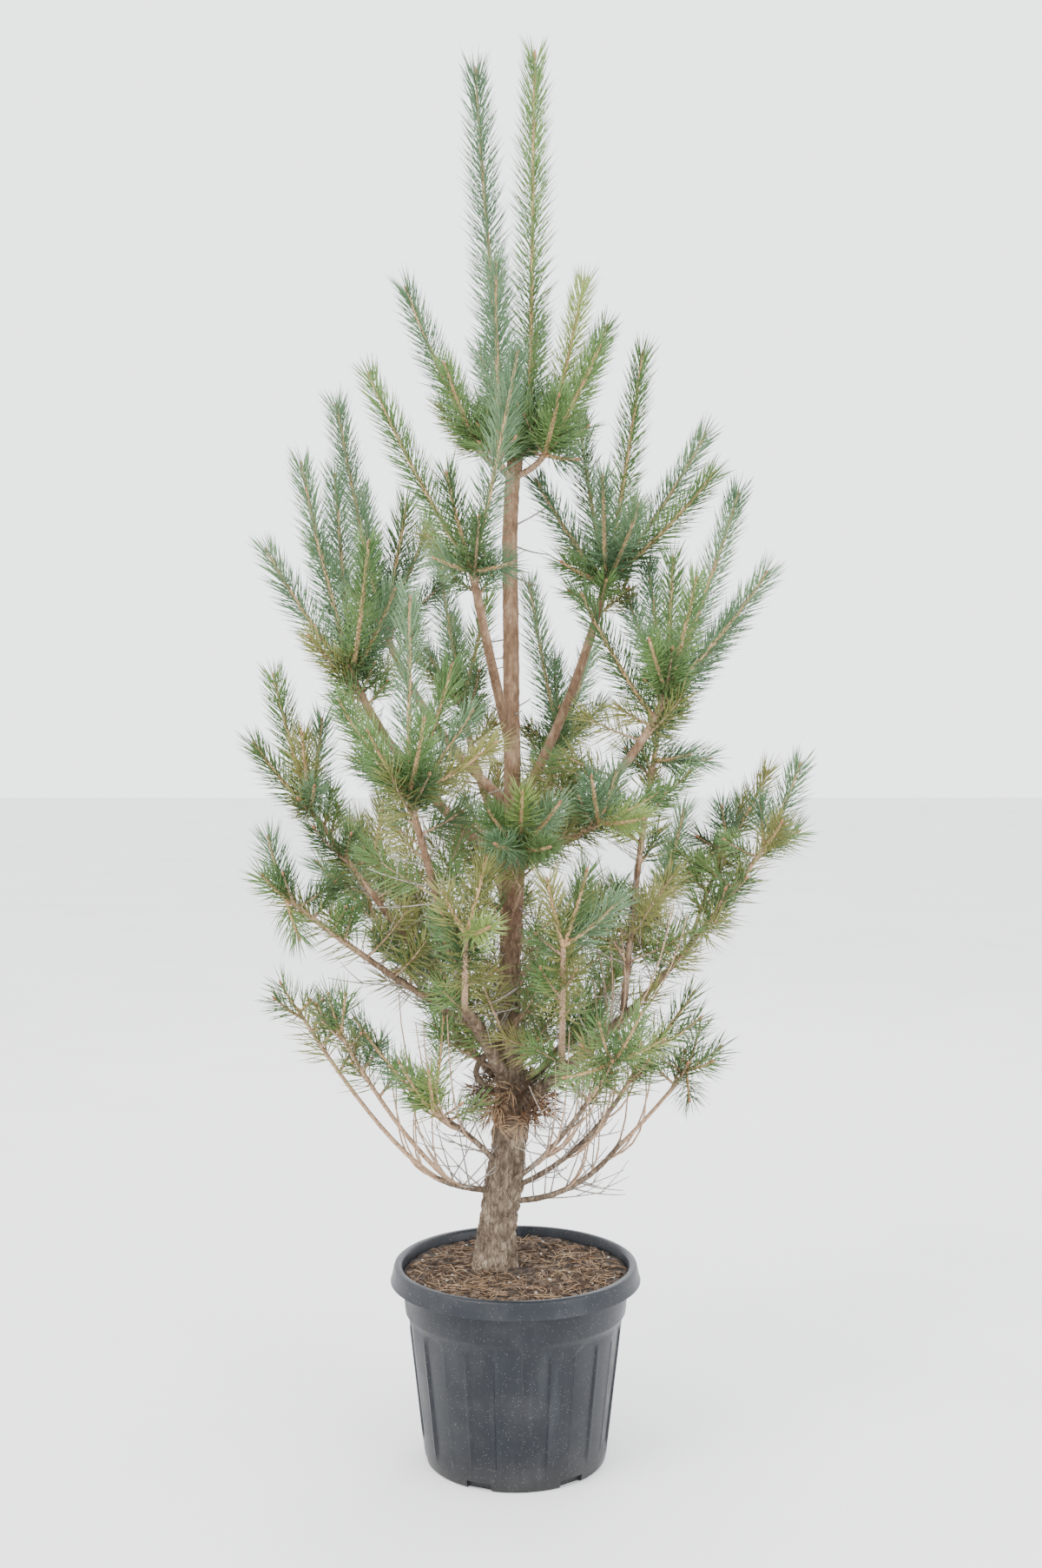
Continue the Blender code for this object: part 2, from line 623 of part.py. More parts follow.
def smooth(obj, angle):
    obj.data.shade_smooth()
    obj.data.set_sharp_from_angle(angle=math.radians(angle))


# The container and its compost


def flute_share(x, y, height):
    """How much of the full depth the wall is pressed in here: twelve shallow upright panels."""
    if not POT_WALL_LOW[1] < height < POT_COLLAR_LOW[1] - 0.001:
        return 0.0
    step = round(math.degrees(math.atan2(y, x)) / (360 / POT_STEPS)) % (POT_STEPS // FLUTES)
    if step not in (1, 2):
        return 0.0
    return min(1.0, (height - POT_WALL_LOW[1]) / FLUTE_FOOT_FADE)


def turned(name, profile, depth, collection):
    """A solid of revolution, with flutes of this depth pressed into it."""
    bm = bmesh.new()
    marks = [bm.verts.new((radius, 0, height)) for radius, height in profile]
    for a, b in zip(marks, marks[1:]):
        bm.edges.new((a, b))
    obj = new_object(name, mesh_from(bm, name), collection)
    screw = obj.modifiers.new("Turn", "SCREW")
    screw.steps = POT_STEPS
    screw.render_steps = POT_STEPS
    screw.use_merge_vertices = True
    screw.merge_threshold = 0.00005
    bpy.context.view_layer.update()
    mesh = evaluated_mesh(obj)
    obj.modifiers.clear()
    old = obj.data
    obj.data = mesh
    bpy.data.meshes.remove(old)
    for vertex in obj.data.vertices:
        flat = Vector((vertex.co.x, vertex.co.y, 0))
        if flat.length < POT_FOOT[0] * 0.9:
            continue
        flat *= 1 - depth * flute_share(vertex.co.x, vertex.co.y, vertex.co.z) / flat.length
        vertex.co.x = flat.x
        vertex.co.y = flat.y
    return obj


def wall_radius(height):
    low, high = POT_WALL_LOW, POT_WALL_HIGH
    return mixed(low[0], high[0], (height - low[1]) / (high[1] - low[1]))


def make_pot(collection, cutters, material, parent):
    t = POT_THICKNESS
    full_depth = POT_WALL_LOW[1] + FLUTE_FOOT_FADE
    ring = wall_radius(full_depth)
    outside = [POT_RIM_INNER, POT_RIM_TOP, POT_RIM_OUTER, POT_SKIRT_EDGE, POT_COLLAR_HIGH, POT_COLLAR_LOW,
               POT_WALL_HIGH, (ring, full_depth), POT_WALL_LOW, (POT_FOOT[0], POT_FOOT_CHAMFER),
               (POT_FOOT[0] - POT_FOOT_CHAMFER, 0.0), (0.0, 0.0)]
    inside = [(0.0, t), (POT_FOOT[0] - t, t), (POT_WALL_LOW[0] - t, POT_WALL_LOW[1])]
    inside += [(ring - t, full_depth), (POT_WALL_HIGH[0] - t, POT_WALL_HIGH[1])]
    inside += [(POT_COLLAR_LOW[0] - t, POT_COLLAR_LOW[1]), POT_MOUTH]
    pot = turned("pot", inside + outside, FLUTE_DEPTH, collection)
    for index in range(NOTCHES):
        turn = math.radians(NOTCH_TURN + index * 360 / NOTCHES)
        bm = bmesh.new()
        bmesh.ops.create_cube(bm, size=1.0)
        bmesh.ops.scale(bm, vec=NOTCH_SIZE, verts=bm.verts)
        notch = new_object(f"notch_cutter_{index}", mesh_from(bm, "notch_cutter"), cutters)
        notch.location = (POT_FOOT[0] * math.cos(turn), POT_FOOT[0] * math.sin(turn), 0.0)
        notch.rotation_euler.z = turn
        bpy.context.view_layer.update()
        with_boolean(pot, "DIFFERENCE", notch)
    settled(pot, "pot", Vector((0, 0, 0)), material, parent)
    smooth(pot, 28)
    return pot


def soil_lift(x, y):
    """Gentle unevenness that dies away towards the trunk's foot."""
    foot = trunk_point(TRUNK[0][0])
    away = math.hypot(x - foot.x, y - foot.y)
    fade = max(0.0, min(1.0, (away - SOIL_LEVEL_REACH) / 0.05))
    wave = math.sin(41 * x + 1.3) * math.cos(37 * y) + 0.6 * math.sin(71 * y + 23 * x)
    return SOIL_RELIEF * 0.6 * fade * wave


def mouth_radius(height):
    """The pot's inner radius between the step and the mouth."""
    low = POT_COLLAR_LOW[0] - POT_THICKNESS
    share = (height - POT_COLLAR_LOW[1]) / (POT_MOUTH[1] - POT_COLLAR_LOW[1])
    return mixed(low, POT_MOUTH[0], share)


def make_compost(collection, material, parent):
    """A plain plug that rests inside the flutes and fills the collar."""
    inset = POT_THICKNESS + FLUTE_DEPTH + CLEARANCE
    top = SOIL_HEIGHT - CLEARANCE
    bottom = POT_THICKNESS + CLEARANCE
    shoulder = POT_COLLAR_LOW[1] + 2 * CLEARANCE
    profile = [(0.0, top)] + [(radius, top) for radius in SOIL_RINGS]
    profile += [(mouth_radius(top) - 2 * CLEARANCE, top), (mouth_radius(shoulder) - 2 * CLEARANCE, shoulder)]
    profile += [(POT_WALL_HIGH[0] - inset, shoulder), (POT_WALL_LOW[0] - inset, POT_WALL_LOW[1])]
    profile += [(POT_FOOT[0] - 0.012, bottom), (0.0, bottom)]
    compost = turned("compost", profile, 0.0, collection)
    for vertex in compost.data.vertices:
        if vertex.co.z > top - 0.0005:
            vertex.co.z += soil_lift(vertex.co.x, vertex.co.y)
    settled(compost, "compost", Vector((0, 0, 0)), material, parent)
    smooth(compost, 40)
    return compost


# The tree


def make_limbs(curves, collection, cutters, material, parent):
    """The trunk, then each bare bough, cut clear of what it grows from and of its neighbours."""
    spaces = [trunk_solid("trunk_clearance", CLEARANCE, cutters)]
    trunk = trunk_solid("trunk", 0.0, collection)
    settled(trunk, "trunk", trunk_point(TRUNK[0][0]), material, parent)
    smooth(trunk, 50)
    for limb in LIMBS:
        if limb.bough <= 0:
            continue
        curve = curves[limb.name]
        bough = limb_tube("bough_" + limb.name, limb, curve, 0.0, collection)
        seated(bough, spaces)
        settled(bough, "bough_" + limb.name, curve[0], material, parent)
        smooth(bough, 50)
        spaces.append(limb_tube(limb.name + "_clearance", limb, curve, CLEARANCE, cutters))
    return spaces


def make_mass(limb, curve, spaces, masses, collection, material, parent):
    """One mass of needles: its stem and shoots fused into one body."""
    rng = random.Random(f"{limb.name} {SPRAY_SEED}")
    twigs = make_collection(limb.name + "_twigs")
    name = "needles_" + limb.name
    carriers = (limb.name + "_clearance", limb.parent + "_clearance")
    foreign = [tree for label, tree in spaces if label not in carriers] + masses
    near = [tree for label, tree in spaces] + masses
    out = LEADER_NEEDLE_OUT if "leader" in limb.name else NEEDLE_OUT
    stem = stem_solid(name, limb, curve, near, rng, collection)
    sprays = [(name + "_shoot", curve_point(curve, *(share or [1.0])), turn, lean, length, out)
              for turn, lean, length, *share in limb.shoots]
    sprays += [(name + "_lesser", curve_point(curve, share), turn, lean, length, out * LESSER_NEEDLE)
               for share, turn, lean, length in lesser_shoots(limb, curve)]
    shoots = []
    for label, root, turn, lean, length, reach in sprays:
        path = shoot_curve(root, turn, lean, length)
        radii = (min(SHOOT_FOOT_RADIUS, limb.radii[1]), SHOOT_TIP_RADIUS)
        grown = [tree_of(shoot) for shoot in shoots]
        shoot = shoot_solid(label, path, radii, reach, foreign, near + grown, rng, twigs)
        if shoot:
            shoots.append(shoot)
    joined(stem, shoots, twigs)
    bpy.data.collections.remove(twigs)
    return stem


def main():
    clear_scene()
    parts = make_collection("potted_scots_pine")
    cutters = make_collection("cutters")
    bark = make_material("bark", (0.29, 0.20, 0.13), 0.9)
    needles = make_material("needles", (0.13, 0.24, 0.13), 0.65)
    plastic = make_material("pot_plastic", (0.09, 0.10, 0.115), 0.55)
    soil = make_material("compost", (0.10, 0.065, 0.04), 0.95)
    root = bpy.data.objects.new("potted_pine", None)
    parts.objects.link(root)
    make_pot(parts, cutters, plastic, root)
    make_compost(parts, soil, root)
    curves = all_curves()
    spaces = make_limbs(curves, parts, cutters, bark, root)
    labelled = [(space.name, tree_of(space)) for space in spaces]
    masses = []
    for limb in LIMBS:
        if not limb.shoots:
            continue
        mass = make_mass(limb, curves[limb.name], labelled, masses, parts, needles, root)
        seated(mass, spaces)
        masses.append(tree_of(mass))
        settled(mass, "needles_" + limb.name, curves[limb.name][2], needles, root)
    for obj in cutters.objects:
        obj.hide_render = True
        obj.display_type = "WIRE"


if __name__ == "__main__":
    main()
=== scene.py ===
# %% [markdown]
# # A potted scots pine
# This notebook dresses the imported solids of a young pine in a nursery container.
# Lengths are metres, +Z is up and the origin is the middle of the pot's underside.
# The solids already hold every size. Here each mass of needles, the bark, the pot
# and the compost get their fine meshes and their finishes.

import json
import math
import random
from collections import namedtuple

import bmesh
import bpy
import numpy as np
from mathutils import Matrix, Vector, noise

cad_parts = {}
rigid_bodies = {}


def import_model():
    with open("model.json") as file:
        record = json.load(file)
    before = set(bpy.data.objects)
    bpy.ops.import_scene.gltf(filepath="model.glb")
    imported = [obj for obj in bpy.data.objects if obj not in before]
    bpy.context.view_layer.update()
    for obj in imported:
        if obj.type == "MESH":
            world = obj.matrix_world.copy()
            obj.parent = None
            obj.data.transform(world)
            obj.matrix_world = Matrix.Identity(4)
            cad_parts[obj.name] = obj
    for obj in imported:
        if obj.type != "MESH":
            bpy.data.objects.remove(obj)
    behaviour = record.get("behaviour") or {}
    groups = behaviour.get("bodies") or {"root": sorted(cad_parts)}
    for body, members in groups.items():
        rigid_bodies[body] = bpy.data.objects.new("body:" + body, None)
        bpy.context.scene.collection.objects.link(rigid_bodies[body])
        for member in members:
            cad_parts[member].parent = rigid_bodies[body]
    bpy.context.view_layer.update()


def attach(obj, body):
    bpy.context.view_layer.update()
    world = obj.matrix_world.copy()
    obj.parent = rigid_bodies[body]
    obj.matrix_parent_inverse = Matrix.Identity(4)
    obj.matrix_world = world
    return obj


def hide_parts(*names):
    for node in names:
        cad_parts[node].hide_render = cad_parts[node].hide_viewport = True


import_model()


# %% [markdown]
# ## Placing and handing over
# Everything new has to be linked into the scene, and every finished piece is put on the root body and hides
# the solids it stands for. Two small functions do that the same way each time.

# %% Two helpers for every piece
def placed(name, data):
    made = bpy.data.objects.new(name, data)
    bpy.context.scene.collection.objects.link(made)
    return made


def hand_over(piece, slot, *solids):
    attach(piece, "root")
    if solids:
        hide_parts(*solids)


# %% [markdown]
# ## Camera and light
# The photograph was taken from about eye height with a slightly wide lens, tipped
# down a little. A camera with the same place and lens makes the two pictures
# comparable. The light outdoors was even, so large soft lamps and a pale world do.

# %% Camera
LENS_MM = 44.14
SENSOR_MM = 36.0
CAMERA_PLACE = (0.0092, -3.202, 1.386)
CAMERA_TILT = math.radians(85.806)

camera_data = bpy.data.cameras.new("camera")
camera_data.lens = LENS_MM
camera_data.sensor_width = SENSOR_MM
camera = placed("camera", camera_data)
camera.location = CAMERA_PLACE
camera.rotation_euler = (CAMERA_TILT, 0, 0)
bpy.context.scene.camera = camera
print("camera at", CAMERA_PLACE)

# %% Lamps and sky
CROWN_MIDDLE = Vector((0, 0, 1.2))
# Each lamp's name, place, size, watts and colour
LAMPS = (
    ("key_lamp", (-2.6, -2.6, 4.4), 2.4, 230, (1.0, 0.98, 0.94)),
    ("fill_lamp", (3.0, -2.4, 2.2), 2.6, 90, (0.96, 0.98, 1.0)),
    ("rim_lamp", (1.2, 3.2, 3.6), 2.0, 80, (1.0, 1.0, 1.0)),
)
SKY_COLOR = (0.95, 0.97, 1.0, 1)
SKY_STRENGTH = 3.1

for name, spot, size, watts, color in LAMPS:
    light = bpy.data.lights.new(name, "AREA")
    light.size = size
    light.energy = watts
    light.color = color
    lamp = placed(name, light)
    lamp.location = spot
    lamp.rotation_euler = (CROWN_MIDDLE - Vector(spot)).to_track_quat("-Z", "Y").to_euler()

world = bpy.data.worlds.new("pale_sky")
world.use_nodes = True
sky = world.node_tree.nodes["Background"]
sky.inputs["Color"].default_value = SKY_COLOR
sky.inputs["Strength"].default_value = SKY_STRENGTH
bpy.context.scene.world = world
print("lamps:", len(LAMPS))


# %% [markdown]
# ## Writing materials as sums
# A material is a graph, but most of it is arithmetic. A small class wraps a
# socket, so that a sum or product of masks reads like one and adds Math nodes.

# %% A socket that can be added and multiplied
class Wire:
    def __init__(self, graph, socket):
        self.graph = graph
        self.socket = socket

    def _math(self, operation, left, right):
        return self.graph.node("ShaderNodeMath", {"operation": operation}, {0: left, 1: right})[0]

    def __add__(self, other):
        return self._math("ADD", self, other)

    def __radd__(self, other):
        return self._math("ADD", other, self)

    def __rsub__(self, other):
        return self._math("SUBTRACT", other, self)

    def __mul__(self, other):
        return self._math("MULTIPLY", self, other)


# %% [markdown]
# Every node of a material comes from one method, which sets the node's settings
# first and then feeds its sockets. The short methods after it name the few kinds
# of node that the finishes use. A colour goes through Mix, which keeps it a colour.

# %% One material's nodes
OBJECT_PLACE = 3
MIX_FACTOR, MIX_LOW, MIX_HIGH = 0, 6, 7
MIX_COLOR = 2


def opaque(color):
    return color if isinstance(color, Wire) else (*color, 1.0)


def set_stops(ramp, stops):
    while len(ramp.elements) > 1:
        ramp.elements.remove(ramp.elements[-1])
    ramp.elements[0].position = stops[0][0]
    ramp.elements[0].color = opaque(stops[0][1])
    for position, color in stops[1:]:
        ramp.elements.new(position).color = opaque(color)


class Graph:
    def __init__(self, name):
        self.material = bpy.data.materials.new(name)
        self.material.use_nodes = True
        self.tree = self.material.node_tree
        self.shader = self.tree.nodes["Principled BSDF"]

    def node(self, kind, settings=None, values=None):
        made = self.tree.nodes.new(kind)
        for key, value in (settings or {}).items():
            if key == "stops":
                set_stops(made.color_ramp, value)
            else:
                setattr(made, key, value)
        for key, value in (values or {}).items():
            self.feed(made.inputs[key], value)
        return [Wire(self, socket) for socket in made.outputs]

    def feed(self, socket, value):
        if isinstance(value, Wire):
            self.tree.links.new(value.socket, socket)
        else:
            socket.default_value = value

    def place(self):
        return self.node("ShaderNodeTexCoord")[OBJECT_PLACE]

    def height(self):
        return self.node("ShaderNodeSeparateXYZ", {}, {0: self.place()})[2]

    def stretched(self, along_z):
        return self.node("ShaderNodeMapping", {}, {"Vector": self.place(), "Scale": (1.0, 1.0, along_z)})[0]

    def noise(self, scale, detail, roughness=0.55, place=None):
        return self.node("ShaderNodeTexNoise", {}, {
            "Vector": place or self.place(), "Scale": scale, "Detail": detail, "Roughness": roughness})[0]

    def cells(self, scale, place=None, feature="F1"):
        return self.node("ShaderNodeTexVoronoi", {"feature": feature}, {
            "Vector": place or self.place(), "Scale": scale})[0]

    def ramp(self, factor, stops):
        return self.node("ShaderNodeValToRGB", {"stops": stops}, {"Fac": factor})[0]

    def blend(self, factor, low, high):
        """A colour between two colours."""
        values = {MIX_FACTOR: factor, MIX_LOW: opaque(low), MIX_HIGH: opaque(high)}
        return self.node("ShaderNodeMix", {"data_type": "RGBA"}, values)[MIX_COLOR]

    def mask(self, value, low, high):
        """0 at low and 1 at high, with a soft step between."""
        return self.node("ShaderNodeMapRange", {"interpolation_type": "SMOOTHSTEP"}, {
            "Value": value, "From Min": low, "From Max": high})[0]

    def bump(self, height, strength, distance):
        return self.node("ShaderNodeBump", {}, {
            "Height": height, "Strength": strength, "Distance": distance})[0]

    def finish(self, color, roughness, normal=None, **fixed):
        self.feed(self.shader.inputs["Base Color"], color)
        self.feed(self.shader.inputs["Roughness"], roughness)
        if normal is not None:
            self.feed(self.shader.inputs["Normal"], normal)
        for name, value in fixed.items():
            self.shader.inputs[name.replace("_", " ")].default_value = value
        return self.material


# %% [markdown]
# ## The finishes
# Needles differ by age and by place on the tree, so there is one green for each kind of spray, and browns for
# the ones that have died or fallen. One green is painted shade: a darker copy of the mid green for sprays
# inside the crown. Each is a plain colour that varies a little between a deep and a light one, with a dull
# shine.

# %% Needle colours
NEEDLE_SHINE = 0.35
# Each finish's deep colour, light colour and roughness
NEEDLE_COLORS = {
    "needles_blue_green": ((0.045, 0.105, 0.045), (0.165, 0.265, 0.135), 0.50),
    "needles_mid_green": ((0.045, 0.105, 0.026), (0.165, 0.270, 0.080), 0.50),
    "needles_fresh_green": ((0.110, 0.185, 0.035), (0.270, 0.350, 0.100), 0.48),
    # Painted shade: the mid green made darker, for sprays inside the crown
    "needles_shade_green": ((0.026, 0.066, 0.020), (0.100, 0.165, 0.050), 0.55),
    "needles_old_olive": ((0.105, 0.120, 0.028), (0.270, 0.265, 0.080), 0.58),
    "needles_dead_brown": ((0.150, 0.065, 0.028), (0.350, 0.180, 0.085), 0.70),
    "fallen_tan": ((0.180, 0.105, 0.055), (0.420, 0.280, 0.160), 0.70),
    "fallen_brown": ((0.024, 0.012, 0.007), (0.110, 0.058, 0.030), 0.75),
    "fallen_grey": ((0.030, 0.020, 0.013), (0.130, 0.092, 0.062), 0.75),
}


def needle_finish(name):
    deep, light, roughness = NEEDLE_COLORS[name]
    graph = Graph(name)
    patch = graph.mask(graph.noise(scale=9.0, detail=2.0), low=0.38, high=0.62)
    fleck = graph.noise(scale=140.0, detail=2.0)
    color = graph.blend(patch * 0.55 + fleck * 0.45, deep, light)
    return graph.finish(color, roughness + fleck * 0.10, Specular_IOR_Level=NEEDLE_SHINE)


NEEDLE_FINISHES = [needle_finish(name) for name in NEEDLE_COLORS]
# The fourth green is the painted shade green
BLUE_GREEN, MID_GREEN, FRESH_GREEN, PAINTED_SHADE_GREEN, OLD_OLIVE, DEAD_BROWN = range(6)
LIVE_AND_DEAD = NEEDLE_FINISHES[:DEAD_BROWN + 1]
FALLEN = NEEDLE_FINISHES[DEAD_BROWN + 1:]
print("needle finishes:", len(NEEDLE_FINISHES))


# %% [markdown]
# Bark is grey-brown and plated low on the trunk and turns orange and flaky
# higher up. The plates themselves are in the mesh, so the material only
# adds the colours of plates and cracks and a fine grain.

# %% Bark finish
BARK_SHINE = 0.25
CRACK_COLOR = (0.040, 0.027, 0.018)
# How far along the grain's ramp each colour lies
GREY_BARK = [(0.34, (0.026, 0.018, 0.012)), (0.50, (0.135, 0.098, 0.068)), (0.66, (0.335, 0.265, 0.195))]
ORANGE_BARK = [(0.32, (0.055, 0.032, 0.020)), (0.50, (0.190, 0.112, 0.066)), (0.68, (0.390, 0.275, 0.180))]
ORANGE_FROM = 0.75
ORANGE_BY = 1.25


def bark_finish():
    graph = Graph("bark_plates")
    height = graph.height()
    upright = graph.stretched(along_z=0.30)
    plate = graph.cells(scale=150.0, place=upright, feature="DISTANCE_TO_EDGE")
    grain = graph.noise(scale=160.0, detail=6.0, roughness=0.65, place=upright)
    patch = graph.noise(scale=22.0, detail=5.0, roughness=0.6)
    grey = graph.ramp(grain * 0.6 + patch * 0.4, GREY_BARK)
    orange = graph.ramp(grain * 0.5 + patch * 0.5, ORANGE_BARK)
    aged = graph.mask(height + patch * 0.35, ORANGE_FROM, ORANGE_BY)
    color = graph.blend(aged, grey, orange)
    crack = 1 - (1 - graph.mask(plate, low=0.0, high=0.07)) * (0.75 - aged * 0.45)
    color = graph.blend(crack, CRACK_COLOR, color)
    relief = graph.bump(grain * 0.5 + crack * 0.5, strength=0.75, distance=0.0016)
    return graph.finish(color, 0.82 + grain * 0.14, relief, Specular_IOR_Level=BARK_SHINE)


BARK = bark_finish()
print("bark:", BARK.name)


# %% Twig and bud finishes
def twig_finish(name, dark, light):
    graph = Graph(name)
    scales = graph.cells(scale=260.0, place=graph.stretched(along_z=0.6))
    grain = graph.noise(scale=120.0, detail=4.0)
    color = graph.blend(graph.mask(grain * 0.6 + scales * 0.7, low=0.25, high=0.75), dark, light)
    relief = graph.bump(scales, strength=0.5, distance=0.0008)
    return graph.finish(color, 0.70 + grain * 0.2, relief, Specular_IOR_Level=BARK_SHINE)


TWIG_FINISHES = [
    twig_finish("twig_brown", (0.120, 0.070, 0.042), (0.380, 0.250, 0.160)),
    twig_finish("shoot_tan", (0.200, 0.110, 0.045), (0.480, 0.310, 0.160)),
    twig_finish("bud_rust", (0.160, 0.065, 0.030), (0.400, 0.200, 0.110)),
    twig_finish("twig_dead", (0.090, 0.075, 0.062), (0.300, 0.265, 0.230)),
]
BROWN, TAN, RUST, DEAD = range(4)
print("twig finishes:", len(TWIG_FINISHES))


# %% [markdown]
# The container is moulded dark plastic that has stood outdoors: dust lies on it,
# pale streaks run down the wall, specks stick to it and fine scuffs cross it.

# %% Plastic finish
PLASTIC_SHINE = 0.24
PLASTIC_DARK = (0.010, 0.012, 0.016)
PLASTIC_STREAK = (0.034, 0.038, 0.045)
PLASTIC_DUST = (0.055, 0.056, 0.056)
SPLASH_COLOR = (0.050, 0.045, 0.038)
SPLASH_HEIGHT = 0.075
SPECK_COLOR = (0.300, 0.280, 0.250)


def plastic_finish():
    graph = Graph("pot_plastic_worn")
    height = graph.height()
    runs = graph.noise(scale=34.0, detail=5.0, roughness=0.6, place=graph.stretched(along_z=0.10))
    streak = graph.mask(runs, low=0.50, high=0.74)
    dust = graph.mask(graph.noise(scale=11.0, detail=6.0, roughness=0.62), low=0.42, high=0.74)
    speck = graph.mask(graph.cells(scale=210.0), low=0.16, high=0.08)
    scuff = graph.mask(graph.noise(scale=70.0, detail=8.0, roughness=0.75), low=0.60, high=0.72)
    splash = graph.mask(height, low=SPLASH_HEIGHT, high=0.0)
    color = graph.blend(streak * 0.40, PLASTIC_DARK, PLASTIC_STREAK)
    color = graph.blend(dust * 0.30, color, PLASTIC_DUST)
    color = graph.blend(splash * 0.30, color, SPLASH_COLOR)
    color = graph.blend(speck * 0.40 + scuff * 0.16, color, SPECK_COLOR)
    roughness = 0.36 + dust * 0.20 + streak * 0.08 + scuff * 0.10
    pores = graph.noise(scale=420.0, detail=2.0)
    relief = graph.bump(pores * 0.5 + scuff * 0.5, strength=0.12, distance=0.0006)
    return graph.finish(color, roughness, relief, Specular_IOR_Level=PLASTIC_SHINE)


POT_PLASTIC = plastic_finish()
print("plastic:", POT_PLASTIC.name)


# %% [markdown]
# Compost, crumbs of bark, small stones and the floor are all matt and grainy, so
# they share one rule and differ in the colours of the grain and in its size.

# %% Matt grainy finishes
GRAIN_TO_CRUMB = 0.8


def grainy_finish(name, scale, *stops):
    graph = Graph(name)
    crumb = graph.cells(scale)
    grain = graph.noise(scale * GRAIN_TO_CRUMB, detail=6.0, roughness=0.7)
    color = graph.ramp(grain * 0.7 + crumb * 0.4, stops)
    relief = graph.bump(grain + crumb, strength=0.9, distance=0.003)
    return graph.finish(color, 0.88 + grain * 0.1, relief)


COMPOST = grainy_finish("compost_dark", 110.0, (0.30, (0.004, 0.003, 0.002)), (0.50, (0.018, 0.011, 0.007)),
                        (0.75, (0.060, 0.036, 0.023)))
CRUMB = grainy_finish("bark_crumbs", 120.0, (0.25, (0.022, 0.013, 0.008)), (0.50, (0.075, 0.045, 0.027)),
                      (0.80, (0.190, 0.125, 0.080)))
STONE = grainy_finish("light_stones", 90.0, (0.25, (0.250, 0.225, 0.190)), (0.50, (0.420, 0.385, 0.330)),
                      (0.80, (0.600, 0.570, 0.520)))
FLOOR = grainy_finish("pale_floor", 3.0, (0.20, (0.740, 0.738, 0.730)), (0.50, (0.770, 0.768, 0.760)),
                      (0.80, (0.800, 0.798, 0.790)))
print("matt finishes:", COMPOST.name, CRUMB.name, STONE.name, FLOOR.name)


# %% [markdown]
# ## The tree's own rule
# The solids grow from one table: each limb leaves the trunk or another limb, bends
# at a knee and ends in a hub, where a whorl of shoots starts. The same table and
# seeds are used here, so every fine twig starts where its coarse one does.

# %% Trunk
# The trunk, as height, sway along X, sway along Y and radius
TRUNK = (
    (0.3228, -0.038, 0.018, 0.0415),
    (0.3400, -0.038, 0.018, 0.0370),
    (0.3900, -0.032, 0.015, 0.0325),
    (0.4300, -0.026, 0.012, 0.0315),
    (0.4550, -0.022, 0.011, 0.0345),
    (0.4900, -0.018, 0.009, 0.0310),
    (0.5450, -0.010, 0.006, 0.0300),
    (0.6000, -0.006, 0.002, 0.0320),
    (0.6400, -0.006, 0.000, 0.0240),
    (0.7300, -0.013, 0.000, 0.0198),
    (0.8350, -0.010, 0.000, 0.0188),
    (0.9900, -0.004, 0.000, 0.0190),
    (1.0500, -0.004, 0.000, 0.0168),
    (1.1050, -0.004, 0.000, 0.0172),
    (1.1500, -0.005, 0.001, 0.0146),
    (1.2850, -0.007, 0.005, 0.0138),
    (1.4400, -0.008, 0.010, 0.0132),
    (1.5500, -0.010, 0.012, 0.0128),
    (1.6500, -0.006, 0.015, 0.0124),
    (1.6900, 0.000, 0.017, 0.0138),
    (1.7150, 0.004, 0.018, 0.0105),
)
print("trunk:", TRUNK[-1][0] - TRUNK[0][0], "m of", len(TRUNK), "sections")

# %% What the tree's rule is driven by
ROOT_LOBES = 5
ROOT_LOBE_DEPTH = 0.16
ROOT_FLARE_TOP = 0.40
SHOOT_SAG = 7.0
SHOOT_SAG_LEAN = 40.0
GOLDEN_TURN = 137.5
SPRAY_SEED = 51
LESSER_LEAN = (38, 62)
LESSER_HIGHEST = 0.94
STEM_SEAT = 0.04
print("seed:", SPRAY_SEED)

# %% Limbs and their shoots
# A limb and what grows on it
# leaves: height on the trunk, or share of the way along the parent limb
# hub: turn, reach and height of the whorl of shoots at its far end
# bend: how much of the way out and of the way up is done at the knee of its curve
# bough: share of the curve that is the bare bough, a solid of its own
# needles: share of the curve from which the stem of the mass wears needles
# radii: at the foot and at the hub
# shoots: turn, lean and length of each main shoot, with the share where it leaves if not the hub
# fill: number and length of the lesser shoots that the seeded rule adds along the stem
Limb = namedtuple("Limb", "name parent leaves hub bend bough needles radii shoots fill")

